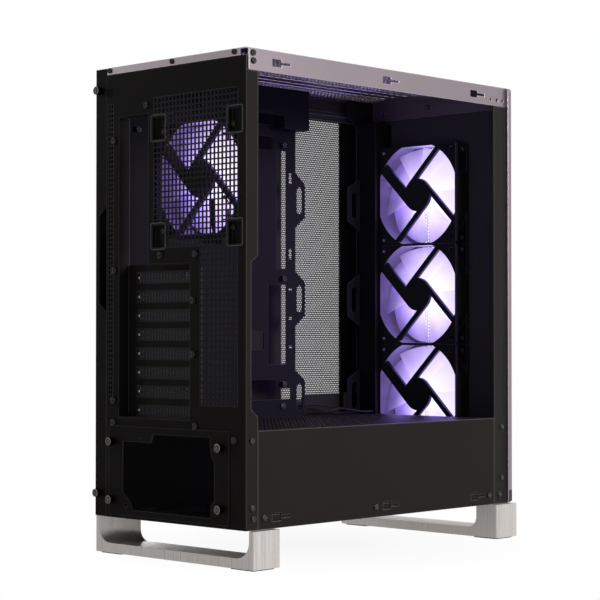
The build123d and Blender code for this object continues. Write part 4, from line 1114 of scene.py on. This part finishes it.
# %% Front latch
LATCH_SIZE = Vector((0.5, 5.0, 13.0)) * MM
low, high = box_of("front_panel")
latch_place = Vector((low.x - LATCH_SIZE.x / 2, (low.y + high.y) / 2 + 0.4 * MM,
                      frame_base + 8.6 * MM))
latch = bmesh.new()
bmesh.ops.create_cube(latch, size=1.0)
bmesh.ops.scale(latch, vec=LATCH_SIZE, verts=latch.verts)
bmesh.ops.bevel(latch, geom=latch.edges[:], offset=0.2 * MM, segments=2, profile=0.5,
                affect="EDGES", material=-1)
bmesh.ops.translate(latch, vec=latch_place, verts=latch.verts)
make_piece("front_latch", latch, gloss_plastic)

# %% [markdown]
# ## Thumbscrews
# Six thumbscrews can be turned by hand, so their heads are grooved all round and also have a
# cross. A smooth collar and a disc whose corners alternate between two radii are extruded to
# their lengths, and the head is closed with the same cross as the small screws.

# %% Grooved heads
THUMB_RADIUS = 4.5 * MM
STEM_RADIUS = 1.5 * MM
STEM_LENGTH = 5.0 * MM
GROOVE_SHARE = 0.93
# start and end as shares of the length, share of the radius, and corners
COLLAR = (0.0, 0.28, 0.72, 24)
GRIP = (0.28, 0.93, 1.0, 48)
CAP_START, CAP_SHARE = 0.90, 0.86


def thumb_head(shape, place, seat):
    """Adds a grooved head that ends at place and starts at seat, both on an axis along Y."""
    length = place.y - seat
    made = set()
    for start, end, share, segments in (COLLAR, GRIP):
        verts, face = upward_disc(shape, segments, THUMB_RADIUS * share)
        if share == 1.0:
            for vert in verts[1::2]:
                vert.co *= GROOVE_SHARE
        bmesh.ops.translate(shape, vec=(0, 0, length * start), verts=verts)
        made.update(verts)
        draw_out(shape, face, length * (end - start), made)
    turn = turned_to(TO_REAR)
    on_axis = Matrix.Translation((place.x, seat, place.z))
    bmesh.ops.transform(shape, matrix=on_axis @ turn, verts=list(made))
    cap = Vector((place.x, seat + length * CAP_START, place.z))
    pan_head(shape, THUMB_RADIUS * CAP_SHARE, length * (1 - CAP_START), cap, TO_REAR)
    stem = Matrix.Translation((place.x, seat - STEM_LENGTH / 2, place.z))
    bmesh.ops.create_cone(shape, cap_ends=True, segments=16, radius1=STEM_RADIUS,
                          radius2=STEM_RADIUS, depth=STEM_LENGTH, matrix=stem @ turn)


def thumb_piece(node, name, body, seat, columns):
    """Puts grooved heads low and high in one or two columns of a CAD node's box."""
    low, high = box_of(node)
    sides = (low.x + THUMB_RADIUS, high.x - THUMB_RADIUS)[:columns]
    shape = bmesh.new()
    for x in sides:
        for z in (low.z + THUMB_RADIUS, high.z - THUMB_RADIUS):
            thumb_head(shape, Vector((x, high.y, z)), seat)
    bmesh.ops.recalc_face_normals(shape, faces=shape.faces)
    make_piece(name, shape, thumb_nickel, [node], body)


thumb_piece("supply_thumbscrews", "supply_thumb_heads", "chassis",
            box_of("supply_bracket")[1].y, 2)
thumb_piece("cover_thumbscrews", "cover_thumb_heads", "cover", rear_face, 1)

# %% [markdown]
# ## Floor, light and background
# The tower stands on a plain pale floor. More light would make it white but also flatten the
# tower, so the floor only looks white to rays from the lens, off gloss and through glass. Near
# the tower it keeps a share of its real shading, which is what shows the shadow.

# %% Floor
FLOOR_NEAR = 0.90
FLOOR_RISE = 0.35


def seen_rays(tree):
    """One for rays that show the background in a picture, and zero for the others."""
    path = tree.nodes.new("ShaderNodeLightPath").outputs
    seen = math_node(tree, "ADD", path["Is Camera Ray"], path["Is Glossy Ray"])
    seen = math_node(tree, "ADD", seen, path["Is Transmission Ray"])
    return math_node(tree, "MINIMUM", seen, 1.0)


floor_mesh = bpy.data.meshes.new("floor")
shape = bmesh.new()
bmesh.ops.create_grid(shape, x_segments=1, y_segments=1, size=12.0)
shape.to_mesh(floor_mesh)
shape.free()
floor = bpy.data.objects.new("floor", floor_mesh)
bpy.context.collection.objects.link(floor)
floor_paint, tree, shader = start_material("floor_paint")
shader.inputs["Base Color"].default_value = (0.42, 0.42, 0.42, 1)
shader.inputs["Roughness"].default_value = 0.9
glow = tree.nodes.new("ShaderNodeEmission")
glow.inputs["Color"].default_value = (1, 1, 1, 1)
away = vector_node(tree, "LENGTH", object_place(tree))
rise = math_node(tree, "MULTIPLY", away, FLOOR_RISE)
rise = math_node(tree, "ADD", rise, FLOOR_NEAR)
rise = math_node(tree, "MINIMUM", rise, 1.0)
blend = tree.nodes.new("ShaderNodeMixShader")
tree.links.new(math_node(tree, "MULTIPLY", seen_rays(tree), rise), blend.inputs[0])
tree.links.new(shader.outputs[0], blend.inputs[1])
tree.links.new(glow.outputs[0], blend.inputs[2])
tree.links.new(blend.outputs[0], tree.nodes["Material Output"].inputs["Surface"])
floor_mesh.materials.append(floor_paint)
print("floor", floor.name)

# %% [markdown]
# The room gives only a dim even light. A sun would draw hard shadows, so a broad soft lamp on
# the open side shows the folds, a small one behind catches the far edges, and two fill the rest.

# %% World and lamps
ROOM_LIGHT = 0.10
world = bpy.data.worlds.new("pale_room")
bpy.context.scene.world = world
world.use_nodes = True
tree = world.node_tree
room = tree.nodes["Background"]
room.inputs["Color"].default_value = (1, 1, 1, 1)
strength = math_node(tree, "MULTIPLY", seen_rays(tree), 1.0 - ROOM_LIGHT)
strength = math_node(tree, "ADD", strength, ROOM_LIGHT)
tree.links.new(strength, room.inputs["Strength"])

TOWER_MIDDLE = Vector((0.0, 0.0, 0.28))
LAMPS = {
    # name: place and size in metres, power in watts
    "open_side_box": ((-2.6, -0.5, 1.1), 1.2, 66.0),
    "edge_box": ((1.9, 1.15, 0.9), 0.09, 3.0),
    "top_box": ((-0.3, -0.9, 2.6), 1.2, 10.0),
    "closed_side_box": ((2.4, -1.0, 1.0), 1.4, 22.0),
}
for name, (place, size, power) in LAMPS.items():
    data = bpy.data.lights.new(name, "AREA")
    data.size = size
    data.energy = power
    lamp = bpy.data.objects.new(name, data)
    bpy.context.collection.objects.link(lamp)
    lamp.location = place
    lamp.rotation_euler = (TOWER_MIDDLE - Vector(place)).to_track_quat("-Z", "Y").to_euler()
bpy.context.scene.view_settings.view_transform = "Standard"
print("lamps", len(LAMPS))
